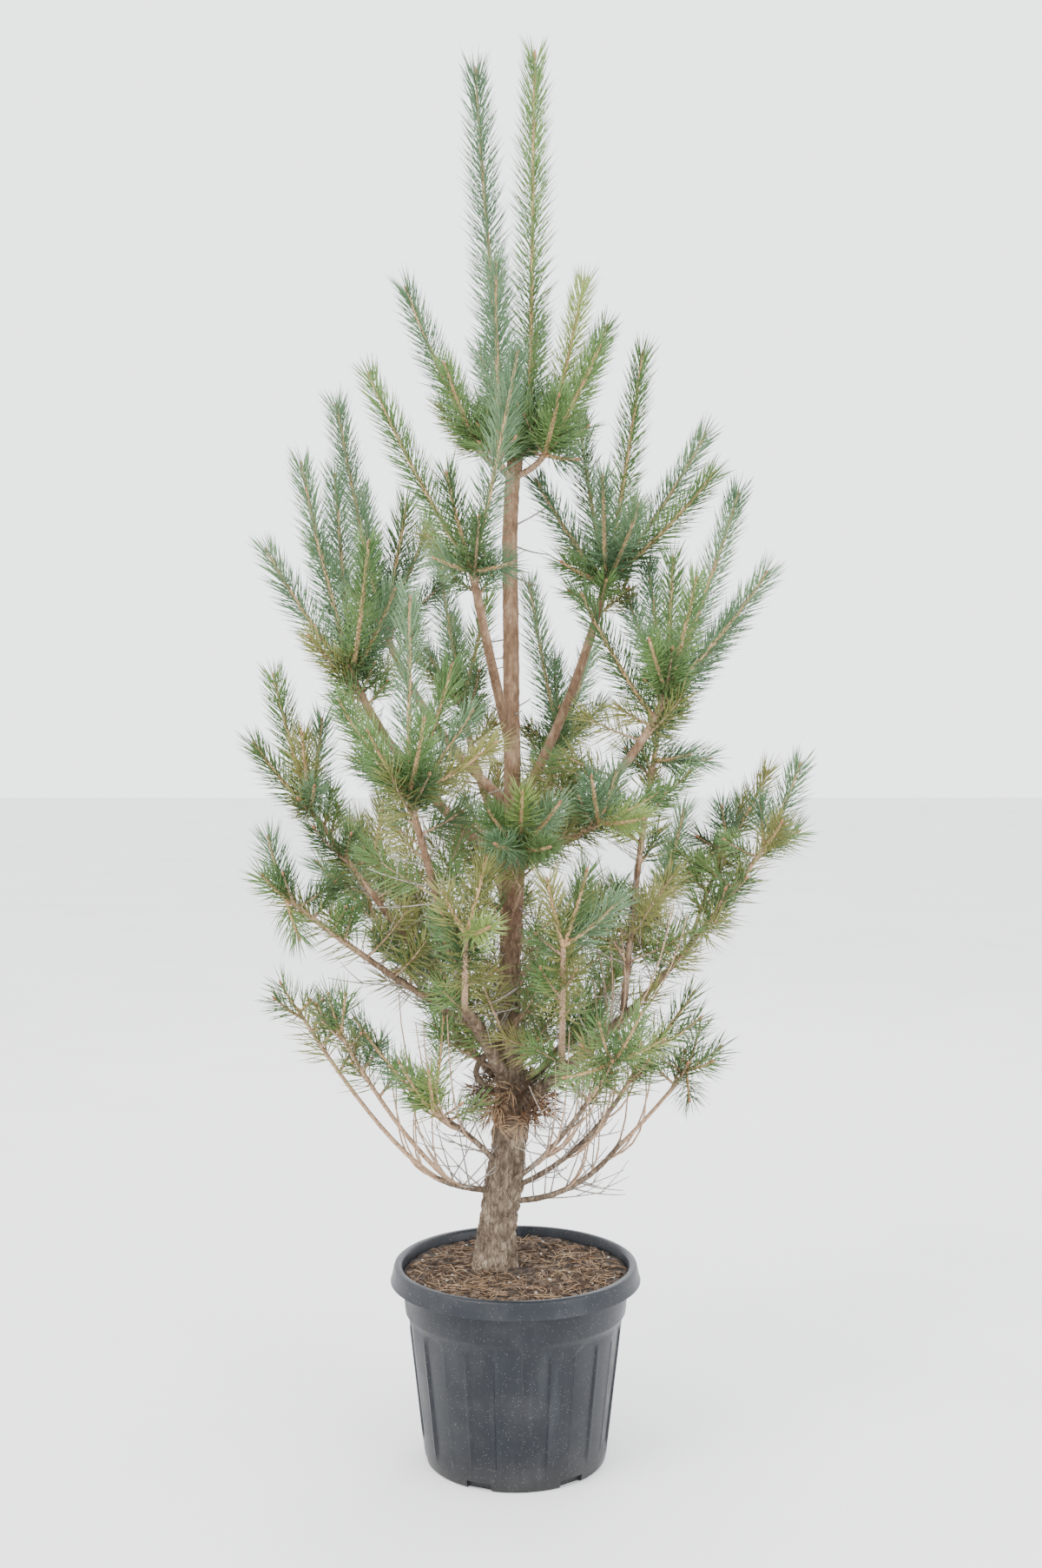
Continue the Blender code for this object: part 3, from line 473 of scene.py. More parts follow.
LIMBS = (
    Limb("left_fork", "trunk", 0.615, (-126, 0.149, 0.801), (0.42, 0.60), 1.0, 1.0, (0.0135, 0.0105),
         (), (0, 0)),
    Limb("right_fork", "trunk", 0.600, (-34, 0.230, 0.798), (0.50, 0.42), 1.0, 1.0, (0.0135, 0.0070),
         (), (0, 0)),
    Limb("left_front", "left_fork", 0.94, (-122, 0.308, 1.151), (0.45, 0.50), 0.90, 0.9, (0.0075, 0.0055),
         ((-79, 4, 0.30), (31, 21, 0.21), (-74, 41, 0.16), (-132, 40, 0.13), (165, 38, 0.18),
          (6, 37, 0.16), (-17, 59, 0.16)), (2, 0.11)),
    Limb("left_middle", "left_fork", 0.84, (-176, 0.341, 1.111), (0.55, 0.50), 0.58, 0.6, (0.0068, 0.0045),
         ((180, 15, 0.225), (-96, 26, 0.14), (77, 23, 0.155), (-167, 40, 0.14), (-80, 66, 0.11)), (2, 0.09)),
    Limb("left_lower", "left_fork", 0.70, (-167, 0.384, 0.971), (0.50, 0.42), 0.60, 0.6, (0.0065, 0.0042),
         ((180, 16, 0.10), (-128, 52, 0.065), (-49, 150, 0.07)), (3, 0.08)),
    Limb("left_front_upper", "trunk", 1.205, (-113, 0.174, 1.500), (0.50, 0.45), 0.94, 0.95, (0.0095, 0.0065),
         ((173, 28, 0.345), (-122, 26, 0.16), (-30, 14, 0.34), (-143, 77, 0.07), (-43, 84, 0.08)), (2, 0.11)),
    Limb("left_upper", "trunk", 1.005, (-159, 0.281, 1.332), (0.70, 0.45), 0.94, 0.95, (0.0088, 0.0062),
         ((-172, 34, 0.24), (150, 16, 0.355), (108, 20, 0.35), (-73, 31, 0.24), (-36, 33, 0.16)), (2, 0.12)),
    Limb("left_back_upper", "trunk", 1.110, (160, 0.240, 1.419), (0.75, 0.45), 0.90, 0.9, (0.0085, 0.0060),
         ((195, 12, 0.37), (-25, 13, 0.205), (38, 29, 0.20), (110, 30, 0.26), (150, 45, 0.20)), (1, 0.12)),
    Limb("right_upper", "trunk", 1.095, (21, 0.163, 1.486), (0.66, 0.47), 0.95, 0.95, (0.0090, 0.0068),
         ((-170, 35, 0.205), (139, 12, 0.29), (0, 9, 0.385), (-95, 36, 0.205), (-65, 44, 0.16),
          (7, 34, 0.30), (-19, 46, 0.255), (-141, 71, 0.10), (65, 45, 0.20)), (1, 0.11)),
    Limb("right_middle", "trunk", 1.000, (-22, 0.264, 1.308), (0.80, 0.55), 0.76, 0.8, (0.0090, 0.0060),
         ((19, 21, 0.34), (0, 40, 0.245), (-74, 36, 0.215), (80, 21, 0.23), (98, 36, 0.255),
          (107, 50, 0.245), (-109, 53, 0.135), (30, 44, 0.215, 0.86), (-170, 31, 0.23, 0.84)), (2, 0.12)),
    Limb("right_back_middle", "right_fork", 0.92, (-4, 0.230, 1.191),
         (0.30, 0.50), 0.60, 0.6, (0.0062, 0.0045),
         ((-21, 80, 0.06), (0, 88, 0.09), (77, 43, 0.10)), (3, 0.08)),
    Limb("right_outer", "right_fork", 0.96, (-4, 0.414, 1.049), (0.52, 0.42), 0.50, 0.5, (0.0055, 0.0038),
         ((0, 23, 0.145), (-78, 60, 0.095), (20, 70, 0.065), (92, 31, 0.08)), (3, 0.07)),
    Limb("back_right", "trunk", 0.985, (75, 0.309, 1.205), (0.70, 0.40), 0.80, 0.8, (0.0078, 0.0055),
         ((180, 11, 0.29), (103, 16, 0.15), (45, 60, 0.13), (60, 35, 0.20)), (2, 0.12)),
    Limb("back_left", "trunk", 1.020, (108, 0.317, 1.279), (0.70, 0.40), 0.80, 0.8, (0.0078, 0.0055),
         ((156, 10, 0.28), (-23, 15, 0.19), (149, 40, 0.12), (100, 40, 0.20)), (2, 0.12)),
    Limb("back_low", "trunk", 0.640, (95, 0.330, 0.980), (0.60, 0.45), 0.60, 0.6, (0.0080, 0.0050),
         ((95, 20, 0.19), (60, 42, 0.16), (130, 42, 0.16), (95, 68, 0.12)), (2, 0.09)),
    Limb("back_right_low", "trunk", 0.610, (45, 0.370, 0.920), (0.60, 0.45), 0.60, 0.6, (0.0075, 0.0048),
         ((40, 20, 0.17), (75, 48, 0.14), (8, 48, 0.14)), (2, 0.09)),
    Limb("back_left_low", "trunk", 0.625, (133, 0.390, 0.900), (0.60, 0.45), 0.60, 0.6, (0.0075, 0.0048),
         ((135, 22, 0.17), (100, 50, 0.14), (170, 50, 0.13)), (2, 0.09)),
    Limb("low_left", "trunk", 0.457, (-167, 0.140, 0.492), (0.60, 0.20), 1.0, 1.0, (0.0058, 0.0046),
         (), (0, 0)),
    Limb("low_left_upper", "trunk", 0.487, (-143, 0.167, 0.620), (0.42, 0.58), 0.90, 0.9, (0.0056, 0.0040),
         ((-92, 48, 0.13), (-126, 42, 0.13), (-163, 39, 0.205), (20, 6, 0.15)), (1, 0.08)),
    Limb("low_right", "trunk", 0.440, (-3, 0.180, 0.548), (0.62, -0.05), 1.0, 1.0, (0.0056, 0.0042),
         (), (0, 0)),
    Limb("low_right_upper", "trunk", 0.457, (-12, 0.218, 0.703), (0.62, 0.22), 0.80, 0.8, (0.0052, 0.0036),
         ((10, 40, 0.13), (-5, 56, 0.11), (-120, 28, 0.09)), (2, 0.07)),
    Limb("low_right_front", "trunk", 0.466, (-52, 0.250, 0.723), (0.48, 0.26), 0.80, 0.8, (0.0050, 0.0036),
         ((-68, 47, 0.14), (-16, 63, 0.09), (-107, 47, 0.11), (-139, 95, 0.10)), (2, 0.07)),
    Limb("leader_right", "trunk", 1.700, (25, 0.026, 1.740), (0.30, 0.60), 0.0, 1.0, (0.0064, 0.0056),
         ((60, 1.5, 0.600),), (0, 0)),
    Limb("leader_left", "trunk", 1.690, (135, 0.024, 1.728), (0.85, 0.40), 0.0, 1.0, (0.0060, 0.0054),
         ((139, 6.2, 0.600),), (0, 0)),
    Limb("top_front", "trunk", 1.655, (-125, 0.048, 1.690), (0.70, 0.30), 0.0, 1.0, (0.0058, 0.0052),
         ((-97, 6, 0.300),), (1, 0.09)),
    Limb("top_left", "trunk", 1.668, (186, 0.056, 1.698), (0.70, 0.30), 0.0, 1.0, (0.0058, 0.0052),
         ((182, 25, 0.29), (-124, 38, 0.165)), (1, 0.10)),
    Limb("top_right", "trunk", 1.660, (-8, 0.048, 1.695), (0.70, 0.30), 0.0, 1.0, (0.0058, 0.0052),
         ((4, 13, 0.285), (18, 27, 0.235), (-43, 36, 0.20), (-80, 57, 0.145), (-30, 100, 0.06)), (1, 0.09)),
    Limb("top_back", "trunk", 1.662, (84, 0.056, 1.695), (0.70, 0.30), 0.0, 1.0, (0.0058, 0.0052),
         ((72, 24, 0.26), (125, 32, 0.22), (95, 60, 0.15)), (0, 0)),
    Limb("front_middle", "trunk", 0.985, (-88, 0.165, 1.062), (0.60, 0.40), 0.0, 0.35, (0.0070, 0.0052),
         ((-112, 61, 0.135), (-87, 48, 0.14), (-56, 55, 0.135), (-104, 82, 0.15), (-72, 84, 0.15)),
          (1, 0.09)),
    Limb("right_inner", "trunk", 1.030, (-45, 0.189, 1.098), (0.60, 0.40), 0.0, 0.35, (0.0068, 0.0050),
         ((34, 24, 0.09), (10, 64, 0.10), (-100, 45, 0.11), (-50, 82, 0.10)), (2, 0.08)),
    Limb("left_inner", "trunk", 0.680, (144, 0.310, 1.010), (0.60, 0.45), 0.0, 0.50, (0.0070, 0.0044),
         ((54, 15, 0.10), (118, 50, 0.09), (-144, 110, 0.085)), (3, 0.08)),
    Limb("front_left_low", "left_fork", 0.95, (-104, 0.309, 0.944), (0.60, 0.30), 0.0, 0.45, (0.0058, 0.0044),
         ((0, 15, 0.115), (-147, 31, 0.075), (-66, 76, 0.09)), (2, 0.07)),
    Limb("front_right_low", "right_fork", 0.42, (-74, 0.270, 0.919),
         (0.55, 0.40), 0.0, 0.50, (0.0058, 0.0044),
         ((-30, 19, 0.125), (0, 51, 0.11), (-122, 24, 0.115)), (2, 0.07)),
    Limb("right_outer_inner", "right_outer", 0.44, (8, 0.365, 1.045),
         (0.30, 0.45), 0.0, 0.40, (0.0036, 0.0034),
         ((23, 32, 0.14), (59, 40, 0.09), (-108, 39, 0.085)), (1, 0.06)),
    Limb("low_left_outer", "low_left", 0.93, (-172, 0.362, 0.776), (0.42, 0.22), 0.0, 0.80, (0.0042, 0.0030),
         ((-165, 32, 0.055), (-60, 60, 0.05)), (1, 0.05)),
    Limb("low_left_inner", "low_left", 0.66, (-160, 0.303, 0.749), (0.48, 0.30), 0.0, 0.72, (0.0042, 0.0032),
         ((180, 39, 0.06), (-141, 19, 0.07), (-78, 40, 0.10)), (2, 0.06)),
    Limb("low_right_outer", "low_right", 0.93, (7, 0.294, 0.658), (0.50, 0.42), 0.0, 0.85, (0.0040, 0.0030),
         ((18, 60, 0.07), (-47, 67, 0.06), (-90, 120, 0.07), (60, 40, 0.08)), (0, 0)),
    Limb("low_back", "trunk", 0.470, (88, 0.270, 0.660), (0.60, 0.25), 0.0, 0.70, (0.0054, 0.0036),
         ((80, 40, 0.10), (30, 52, 0.12), (135, 52, 0.12)), (1, 0.07)),
)

print("limbs:", len(LIMBS), "main shoots:", sum(len(limb.shoots) for limb in LIMBS))


# %% Places and curves
CURVE_STEPS = 12


def place(turn, reach, height):
    angle = math.radians(turn)
    return Vector((reach * math.cos(angle), reach * math.sin(angle), height))


def heading(turn, lean):
    across = math.sin(math.radians(lean))
    return place(turn, across, math.cos(math.radians(lean)))


def mixed(low, high, share):
    return low + (high - low) * share


def trunk_point(height):
    for low, high in zip(TRUNK, TRUNK[1:]):
        if height <= high[0]:
            share = (height - low[0]) / (high[0] - low[0])
            return Vector((mixed(low[1], high[1], share), mixed(low[2], high[2], share), height))
    return Vector((TRUNK[-1][1], TRUNK[-1][2], height))


def curve_point(curve, share):
    start, knee, end = curve
    return start * (1 - share) ** 2 + knee * 2 * share * (1 - share) + end * share**2


def curve_length(curve):
    marks = [curve_point(curve, step / CURVE_STEPS) for step in range(CURVE_STEPS + 1)]
    return sum((b - a).length for a, b in zip(marks, marks[1:]))


def limb_curve(limb):
    on_trunk = limb.parent == "trunk"
    start = trunk_point(limb.leaves) if on_trunk else curve_point(CURVES[limb.parent], limb.leaves)
    end = place(*limb.hub)
    way = end - start
    out, up = limb.bend
    knee = start + Vector((way.x * out, way.y * out, way.z * up))
    return start, knee, end


def shoot_curve(start, turn, lean, length):
    """A shoot leaves its whorl leaning further out than it ends."""
    end = start + heading(turn, lean) * length
    sag = SHOOT_SAG * min(1.0, lean / SHOOT_SAG_LEAN)
    knee = start + heading(turn, lean + sag) * length * 0.5
    return start, knee, end


CURVES = {}
for limb in LIMBS:
    CURVES[limb.name] = limb_curve(limb)
print("bare wood and stems:", sum(curve_length(curve) for curve in CURVES.values()), "m")


# %% The seeded rule for lesser shoots
LESSER_LENGTH = (0.8, 1.2)


def lesser_shoots(limb):
    """Short shoots up the leafy stem, each turned on from the last, away from the way it points."""
    count, length = limb.fill
    rng = random.Random(f"{SPRAY_SEED} {limb.name}")
    first_turn = rng.uniform(0, 360)
    lowest = min(LESSER_HIGHEST, max(limb.needles, limb.bough) + STEM_SEAT)
    shoots = []
    for index in range(count):
        share = mixed(1.0, lowest, (index + 0.5) / count)
        turn = first_turn + GOLDEN_TURN * index
        lean = rng.uniform(*LESSER_LEAN)
        shoots.append((share, turn, lean, length * rng.uniform(*LESSER_LENGTH)))
    return shoots


print("lesser shoots:", sum(limb.fill[0] for limb in LIMBS))


# %% [markdown]
# ## Meshes from arrays
# A crown has tens of thousands of needles, far too many for one object each.
# They are worked out as arrays of corners and joined as they are made. A batch
# gathers the arrays, with the number of the finish that each face takes.

# %% A batch of faces
class Batch:
    def __init__(self):
        self.corners = []
        self.faces = []
        self.finishes = []
        self.count = 0

    def add(self, rows, finish=0):
        corners, faces = rows
        self.corners.append(corners)
        self.faces.append(faces + self.count)
        self.finishes.append(np.full(len(faces), finish))
        self.count += len(corners)

    def piece(self, name, materials, smooth=True):
        corners = np.concatenate(self.corners)
        faces = np.concatenate(self.faces)
        mesh = bpy.data.meshes.new(name)
        sides = faces.shape[1]
        mesh.vertices.add(len(corners))
        mesh.vertices.foreach_set("co", corners.astype(np.float32).ravel())
        mesh.loops.add(faces.size)
        mesh.loops.foreach_set("vertex_index", faces.astype(np.int32).ravel())
        mesh.polygons.add(len(faces))
        mesh.polygons.foreach_set("loop_start", np.arange(0, faces.size, sides, dtype=np.int32))
        mesh.polygons.foreach_set("material_index", np.concatenate(self.finishes).astype(np.int32))
        mesh.update(calc_edges=True)
        mesh.validate()
        for material in materials:
            mesh.materials.append(material)
        if smooth:
            mesh.shade_smooth()
        print(name, "faces:", len(faces))
        return placed(name, mesh)


# %% [markdown]
# A needle, a twig and a limb all follow the same kind of curve: from a foot, past a
# knee, to a tip. Worked out as rows, one for each place along it, a whole shoot
# costs a few array sums in place of thousands of steps.

# %% Rows along a curve
NEARLY_UPRIGHT = 0.95
TINY = 1e-9


def unit(rows):
    return rows / np.maximum(np.linalg.norm(rows, axis=-1, keepdims=True), TINY)


def curve_rows(curve, shares):
    """Points and headings along a bent curve, one row for each share."""
    start, knee, end = (np.array(point) for point in curve)
    share = np.asarray(shares)[:, None]
    points = start * (1 - share) ** 2 + knee * 2 * share * (1 - share) + end * share**2
    headings = (knee - start) * (1 - share) + (end - knee) * share
    return points, unit(headings)


def side_rows(headings):
    """Two directions across each heading."""
    helper = np.where(np.abs(headings[:, 2:]) > NEARLY_UPRIGHT, [[1.0, 0.0, 0.0]], [[0.0, 0.0, 1.0]])
    side = unit(np.cross(headings, helper))
    return side, np.cross(headings, side)


# %% [markdown]
# ## One shoot's needles
# Pine needles stand in pairs, wound round the shoot on the golden turn. They lean
# forward, more so near the bud, and each is a slim three-sided blade that curves in
# a little and ends in a point. Nine faces a needle keep the whole crown affordable.

# %% Needles along a curve
NEEDLE_WIDTH = 0.0018
NEEDLE_FOOT = 0.8
NEEDLE_LEAN = (50.0, 24.0)
PAIR_SPREAD = 0.16
# How far chance moves a needle: place in its gap, turn, spread, lean in degrees, and length
GAP_PLAY = (0.2, 0.8)
TURN_PLAY = 0.25
SPREAD_PLAY = 0.06
LEAN_PLAY = 5.0
LENGTH_PLAY = (0.80, 1.06)
SHORTER_AT_TIP = 0.12
# The blade curves in towards the shoot and sags; middle and point as shares of its length
CURVE_IN = 0.055
BLADE_SAG = np.array([0, 0, -0.02])
MIDDLE_AT, MIDDLE_INWARD = 0.52, -0.5
POINT_AT, POINT_INWARD = 0.98, 0.6
BLADE_SIDES = 3
BLADE_CORNERS = 2 * BLADE_SIDES + 1
BLADE_FACES = np.array([
    (0, 1, 4), (0, 4, 3), (1, 2, 5), (1, 5, 4), (2, 0, 3), (2, 3, 5), (3, 4, 6), (4, 5, 6), (5, 3, 6)])
FEWEST_PAIRS = 3


def needle_rows(rng, curve, first, last, radius, length, density, lean=NEEDLE_LEAN):
    """Corners and faces of all the needles between two shares of a curve."""
    way, _ = curve_rows(curve, np.linspace(0, 1, CURVE_STEPS))
    metres = np.linalg.norm(np.diff(way, axis=0), axis=1).sum() * (last - first)
    pairs = max(FEWEST_PAIRS, int(metres * density))
    needles = pairs * 2
    order = np.arange(pairs)
    share = first + (last - first) * (order + rng.uniform(*GAP_PLAY, pairs)) / pairs
    angle = np.radians(GOLDEN_TURN) * order + rng.normal(0, TURN_PLAY, pairs)
    share = np.repeat(share, 2)
    spread = np.tile([-PAIR_SPREAD, PAIR_SPREAD], pairs)
    angle = np.repeat(angle, 2) + spread + rng.normal(0, SPREAD_PLAY, needles)
    points, along = curve_rows(curve, share)
    side, across = side_rows(along)
    out = side * np.cos(angle)[:, None] + across * np.sin(angle)[:, None]
    tip = ((share - first) / (last - first)) ** 2
    tilt = np.radians(lean[0] + (lean[1] - lean[0]) * tip + rng.normal(0, LEAN_PLAY, needles))[:, None]
    forward = unit(along * np.cos(tilt) + out * np.sin(tilt))
    reach = (length * rng.uniform(*LENGTH_PLAY, needles) * (1 - SHORTER_AT_TIP * tip))[:, None]
    root = points + out * radius
    inward = along * CURVE_IN * reach + BLADE_SAG * reach
    middle = root + forward * reach * MIDDLE_AT + inward * MIDDLE_INWARD
    point = root + forward * reach * POINT_AT + inward * POINT_INWARD
    flat, thick = side_rows(forward)
    turns = [step * math.tau / BLADE_SIDES for step in range(BLADE_SIDES)]
    ring = np.stack([flat * math.cos(turn) + thick * math.sin(turn) for turn in turns], axis=1)
    ring = ring * NEEDLE_WIDTH / 2
    corners = [root[:, None] + ring * NEEDLE_FOOT, middle[:, None] + ring, point[:, None]]
    faces = BLADE_FACES[None] + (np.arange(needles) * BLADE_CORNERS)[:, None, None]
    return np.concatenate(corners, axis=1).reshape(-1, 3), faces.reshape(-1, 3)


print("faces of one needle:", len(BLADE_FACES))


# %% [markdown]
# ## Twigs and buds
# A twig is a round skin drawn through rings of corners, and a bud is a short one
# that swells and comes to a point. A relief may push each corner in or out, so the
# same skin also serves the trunk and the boughs.

# %% Skins of twigs, buds and limbs
# Corners round a skin and rings along it
TWIG_SKIN = (6, 7)
THIN_SKIN = (5, 6)
BUD_STEPS = np.linspace(-0.15, 1.0, 6)
BUD_SHAPE = np.array([0.85, 1.15, 1.25, 1.0, 0.55, 0.08])
BUD_SIDES = 6


def tube_rows(points, headings, radii, sides, relief=None):
    """A round skin through the points, closed at both ends, in triangles."""
    side, across = side_rows(headings)
    for row in range(1, len(points)):
        spun = side[row - 1] - headings[row] * side[row - 1].dot(headings[row])
        side[row] = spun / np.linalg.norm(spun)
        across[row] = np.cross(headings[row], side[row])
    turn = np.arange(sides) * math.tau / sides
    out = side[:, None] * np.cos(turn)[None, :, None] + across[:, None] * np.sin(turn)[None, :, None]
    size = np.repeat(np.asarray(radii)[:, None], sides, axis=1)
    if relief is not None:
        size = size * relief(points, out, size)
    corners = (points[:, None] + out * size[:, :, None]).reshape(-1, 3)
    faces = []
    ring = np.arange(sides)
    after = (ring + 1) % sides
    for row in range(len(points) - 1):
        low = row * sides
        high = low + sides
        faces.append(np.stack([low + ring, low + after, high + after], axis=1))
        faces.append(np.stack([low + ring, high + after, high + ring], axis=1))
    end = len(corners)
    corners = np.concatenate([corners, points[:1], points[-1:]])
    faces.append(np.stack([np.full(sides, end), after, ring], axis=1))
    top = (len(points) - 1) * sides
    faces.append(np.stack([np.full(sides, end + 1), top + ring, top + after], axis=1))
    return corners, np.concatenate(faces)


def twig_rows(curve, foot, tip, skin=TWIG_SKIN, first=0.0):
    """A tapering twig from a share of the curve to its end."""
    sides, rings = skin
    points, along = curve_rows(curve, np.linspace(first, 1.0, rings))
    return tube_rows(points, along, np.linspace(foot, tip, rings), sides)


def bud_rows(curve, length, radius):
    """The pointed winter bud at a shoot's end."""
    points, along = curve_rows(curve, np.array([1.0]))
    way = points + along * (BUD_STEPS * length)[:, None]
    return tube_rows(way, np.repeat(along, len(BUD_STEPS), axis=0), radius * BUD_SHAPE, BUD_SIDES)


print("rings of one bud:", len(BUD_STEPS))


# %% [markdown]
# ## The crown
# Each limb that carries needles gets its stem, its whorl of shoots, the lesser shoots of the seeded rule, and
# then finer twigs between them. Colour is dealt out by spray: blue-green at the top and outside, olive for
# older needles further in, and painted shade further in as a darker green.

# %% Which part of the crown each limb belongs to
REGIONS = {
    "top": ("leader_right", "leader_left", "top_front", "top_left", "top_right", "top_back"),
    "upper_left": ("left_front_upper", "left_upper", "left_back_upper"),
    "upper_right": ("right_upper",),
    "middle_right": ("right_middle", "right_inner"),
    "middle_left": ("left_front", "left_middle", "left_lower", "left_inner", "front_left_low"),
    "middle_front": ("front_middle", "front_right_low", "right_back_middle", "right_outer",
                     "right_outer_inner"),
    "back": ("back_right", "back_left", "back_low", "back_right_low", "back_left_low"),
    "low": ("low_left_upper", "low_right_upper", "low_right_front", "low_left_outer", "low_left_inner",
            "low_right_outer", "low_back"),
}
LEADERS = REGIONS["top"][:2]
BY_NAME = {limb.name: limb for limb in LIMBS}
print("regions:", len(REGIONS))

# %% The colour of a spray
# Each zone's greens, with the running share of the draws up to which each is taken
LEADER_GREENS = ((BLUE_GREEN, 0.7), (MID_GREEN, 1.0))
# Inner sprays draw the painted shade green most often, darkening the inside of the crown; the other zones mix
# in a little of it
INNER_GREENS = ((PAINTED_SHADE_GREEN, 0.45), (MID_GREEN, 0.80), (OLD_OLIVE, 1.0))
HIGH_GREENS = ((BLUE_GREEN, 0.50), (MID_GREEN, 0.82), (FRESH_GREEN, 0.92), (PAINTED_SHADE_GREEN, 1.0))
MIDDLE_GREENS = (
    (BLUE_GREEN, 0.30), (MID_GREEN, 0.68), (PAINTED_SHADE_GREEN, 0.86), (FRESH_GREEN, 0.93), (OLD_OLIVE, 1.0))
LOW_GREENS = ((MID_GREEN, 0.42), (PAINTED_SHADE_GREEN, 0.62), (OLD_OLIVE, 0.80), (FRESH_GREEN, 1.0))
HIGH_FROM = 1.25
MIDDLE_FROM = 0.75


def spray_finish(rng, limb, height, main):
    """The finish number of one spray, drawn by where it stands."""
    if limb.name in LEADERS:
        greens = LEADER_GREENS
    elif not main:
        greens = INNER_GREENS
    elif height > HIGH_FROM:
        greens = HIGH_GREENS
    elif height > MIDDLE_FROM:
        greens = MIDDLE_GREENS
    else:
        greens = LOW_GREENS
    draw = rng.random()
    return next(green for green, limit in greens if draw <= limit)


# %% The shoots of one limb
FINE_TWIGS = 5
FINE_LENGTH = (0.035, 0.075)
FINE_TURN = (0, 60)
FINE_LEAN = (30, 65)
FINE_FROM = 0.9
FINE_HIGHEST = 0.98


def limb_sprays(limb, rng):
    """The curve of every shoot of one limb, and whether it is a main one."""
    curve = CURVES[limb.name]
    sprays = []
    for turn, lean, length, *share in limb.shoots:
        sprays.append((shoot_curve(curve_point(curve, *(share or [1.0])), turn, lean, length), True))
    for share, turn, lean, length in lesser_shoots(limb):
        sprays.append((shoot_curve(curve_point(curve, share), turn, lean, length), False))
    lowest = max(limb.needles, limb.bough) * FINE_FROM
    for index in range(FINE_TWIGS):
        share = min(FINE_HIGHEST, lowest + (1 - lowest) * (index + 0.5) / FINE_TWIGS)
        length = rng.uniform(*FINE_LENGTH)
        turn = GOLDEN_TURN * index + rng.uniform(*FINE_TURN)
        sprays.append((shoot_curve(curve_point(curve, share), turn, rng.uniform(*FINE_LEAN), length), False))
    return sprays


print("fine twigs on each limb:", FINE_TWIGS)

# %% One limb's wood and needles
PAIRS_PER_METRE = 640
LOW_PAIRS_PER_METRE = 380
SHOOT_NEEDLE = 0.054
LEADER_NEEDLE = 0.062
LESSER_NEEDLE = 0.88
OLD_NEEDLE = 0.060
SHOOT_BUD = (0.010, 0.0023)
LEADER_BUD = (0.016, 0.0034)
MAIN_FOOT = 0.0046
LESSER_FOOT = 0.0028
SHOOT_TAPER = 0.55
NEEDLES_AT = 0.8
BARE_FOOT = 0.012
MOST_BARE = 0.25
# The stem starts a little inside its bough and wears older needles, fewer and more spread:
# their length, pairs on a metre, and lean at the foot and at the tip
STEM_OVERLAP = 0.01
STEM_SKIN = (8, 12)
STEM_NEEDLES = (OLD_NEEDLE, 330, (66, 40))
STEM_NEEDLES_FROM = 0.9
NO_STEM_FROM = 0.995
BARE_STEM_FROM = 0.97
OLIVE_BELOW = 1.2


def dress_limb(rng, limb, density, leaves, wood):
    curve = CURVES[limb.name]
    leader = limb.name in LEADERS
    foot, hub = limb.radii
    start = max(0.0, limb.bough - STEM_OVERLAP)
    if start < NO_STEM_FROM:
        wood.add(twig_rows(curve, mixed(foot, hub, start), hub, STEM_SKIN, start), BROWN)
    needled = max(limb.needles, limb.bough)
    if needled < BARE_STEM_FROM:
        # Stems high up wear the painted shade green; low ones wear olive old needles
        green = OLD_OLIVE if limb.hub[2] < OLIVE_BELOW else PAINTED_SHADE_GREEN
        leaves.add(needle_rows(rng, curve, min(needled, STEM_NEEDLES_FROM), 1.0, hub, *STEM_NEEDLES), green)
    for path, main in limb_sprays(limb, rng):
        foot = min(MAIN_FOOT, hub) if main else LESSER_FOOT
        wood.add(twig_rows(path, foot, foot * SHOOT_TAPER), TAN if leader or main else BROWN)
        wood.add(bud_rows(path, *(LEADER_BUD if leader else SHOOT_BUD)), RUST)
        green = spray_finish(rng, limb, path[2].z, main)
        reach = LEADER_NEEDLE if leader else SHOOT_NEEDLE * (1.0 if main else LESSER_NEEDLE)
        bare = min(MOST_BARE, BARE_FOOT / curve_length(path))
        leaves.add(needle_rows(rng, path, bare, 1.0, foot * NEEDLES_AT, reach, density), green)


# %% Grow the crown, one region at a time
for index, (region, names) in enumerate(REGIONS.items()):
    rng = np.random.default_rng(SPRAY_SEED + index)
    density = LOW_PAIRS_PER_METRE if region == "low" else PAIRS_PER_METRE
    leaves = Batch()
    wood = Batch()
    for name in names:
        dress_limb(rng, BY_NAME[name], density, leaves, wood)
    needles = leaves.piece("fine_needles_" + region, LIVE_AND_DEAD, smooth=False)
    hand_over(needles, "needles", *["needles_" + name for name in names])
    hand_over(wood.piece("twigs_" + region, TWIG_FINISHES), "bark")


# %% [markdown]
# ## Old growth inside the crown
# Between the forks and the middle whorl the photo's trunk is half hidden by thin
# twigs that still wear last year's needles: longer, sparser and olive yellow. They
# leave the boughs and the trunk at random, so they are scattered by one rule.

# %% Twigs with last year's needles
OLD_SEED = SPRAY_SEED + 30
OLD_ON_TRUNK = 46
OLD_ON_BOUGH = 7
OLD_TRUNK_SPAN = (0.66, 1.12)
OLD_BOUGH_HEIGHTS = (0.75, 1.35)
OLD_BOUGH_SPAN = (0.30, 1.0)
OLD_LENGTH = (0.05, 0.13)
OLD_LEAN = (25, 80)
OLD_RADII = (0.0021, 0.0011)
# How far out they start, their length, pairs on a metre, and lean at the foot and at the tip
OLD_NEEDLES = (0.0015, OLD_NEEDLE, 430, (62, 24))
OLD_BARE = 0.2
OLIVE_SHARE = 0.62
# A stalk carries each one out from the trunk
STALK_REACH = (0.0, 0.11)
STALK_DROP = 0.6
STALK_LEAN = 60
STALK_EXTRA = 0.03
STALK_RADII = (0.0030, 0.0020)
STALK_TURN = (-50, 50)


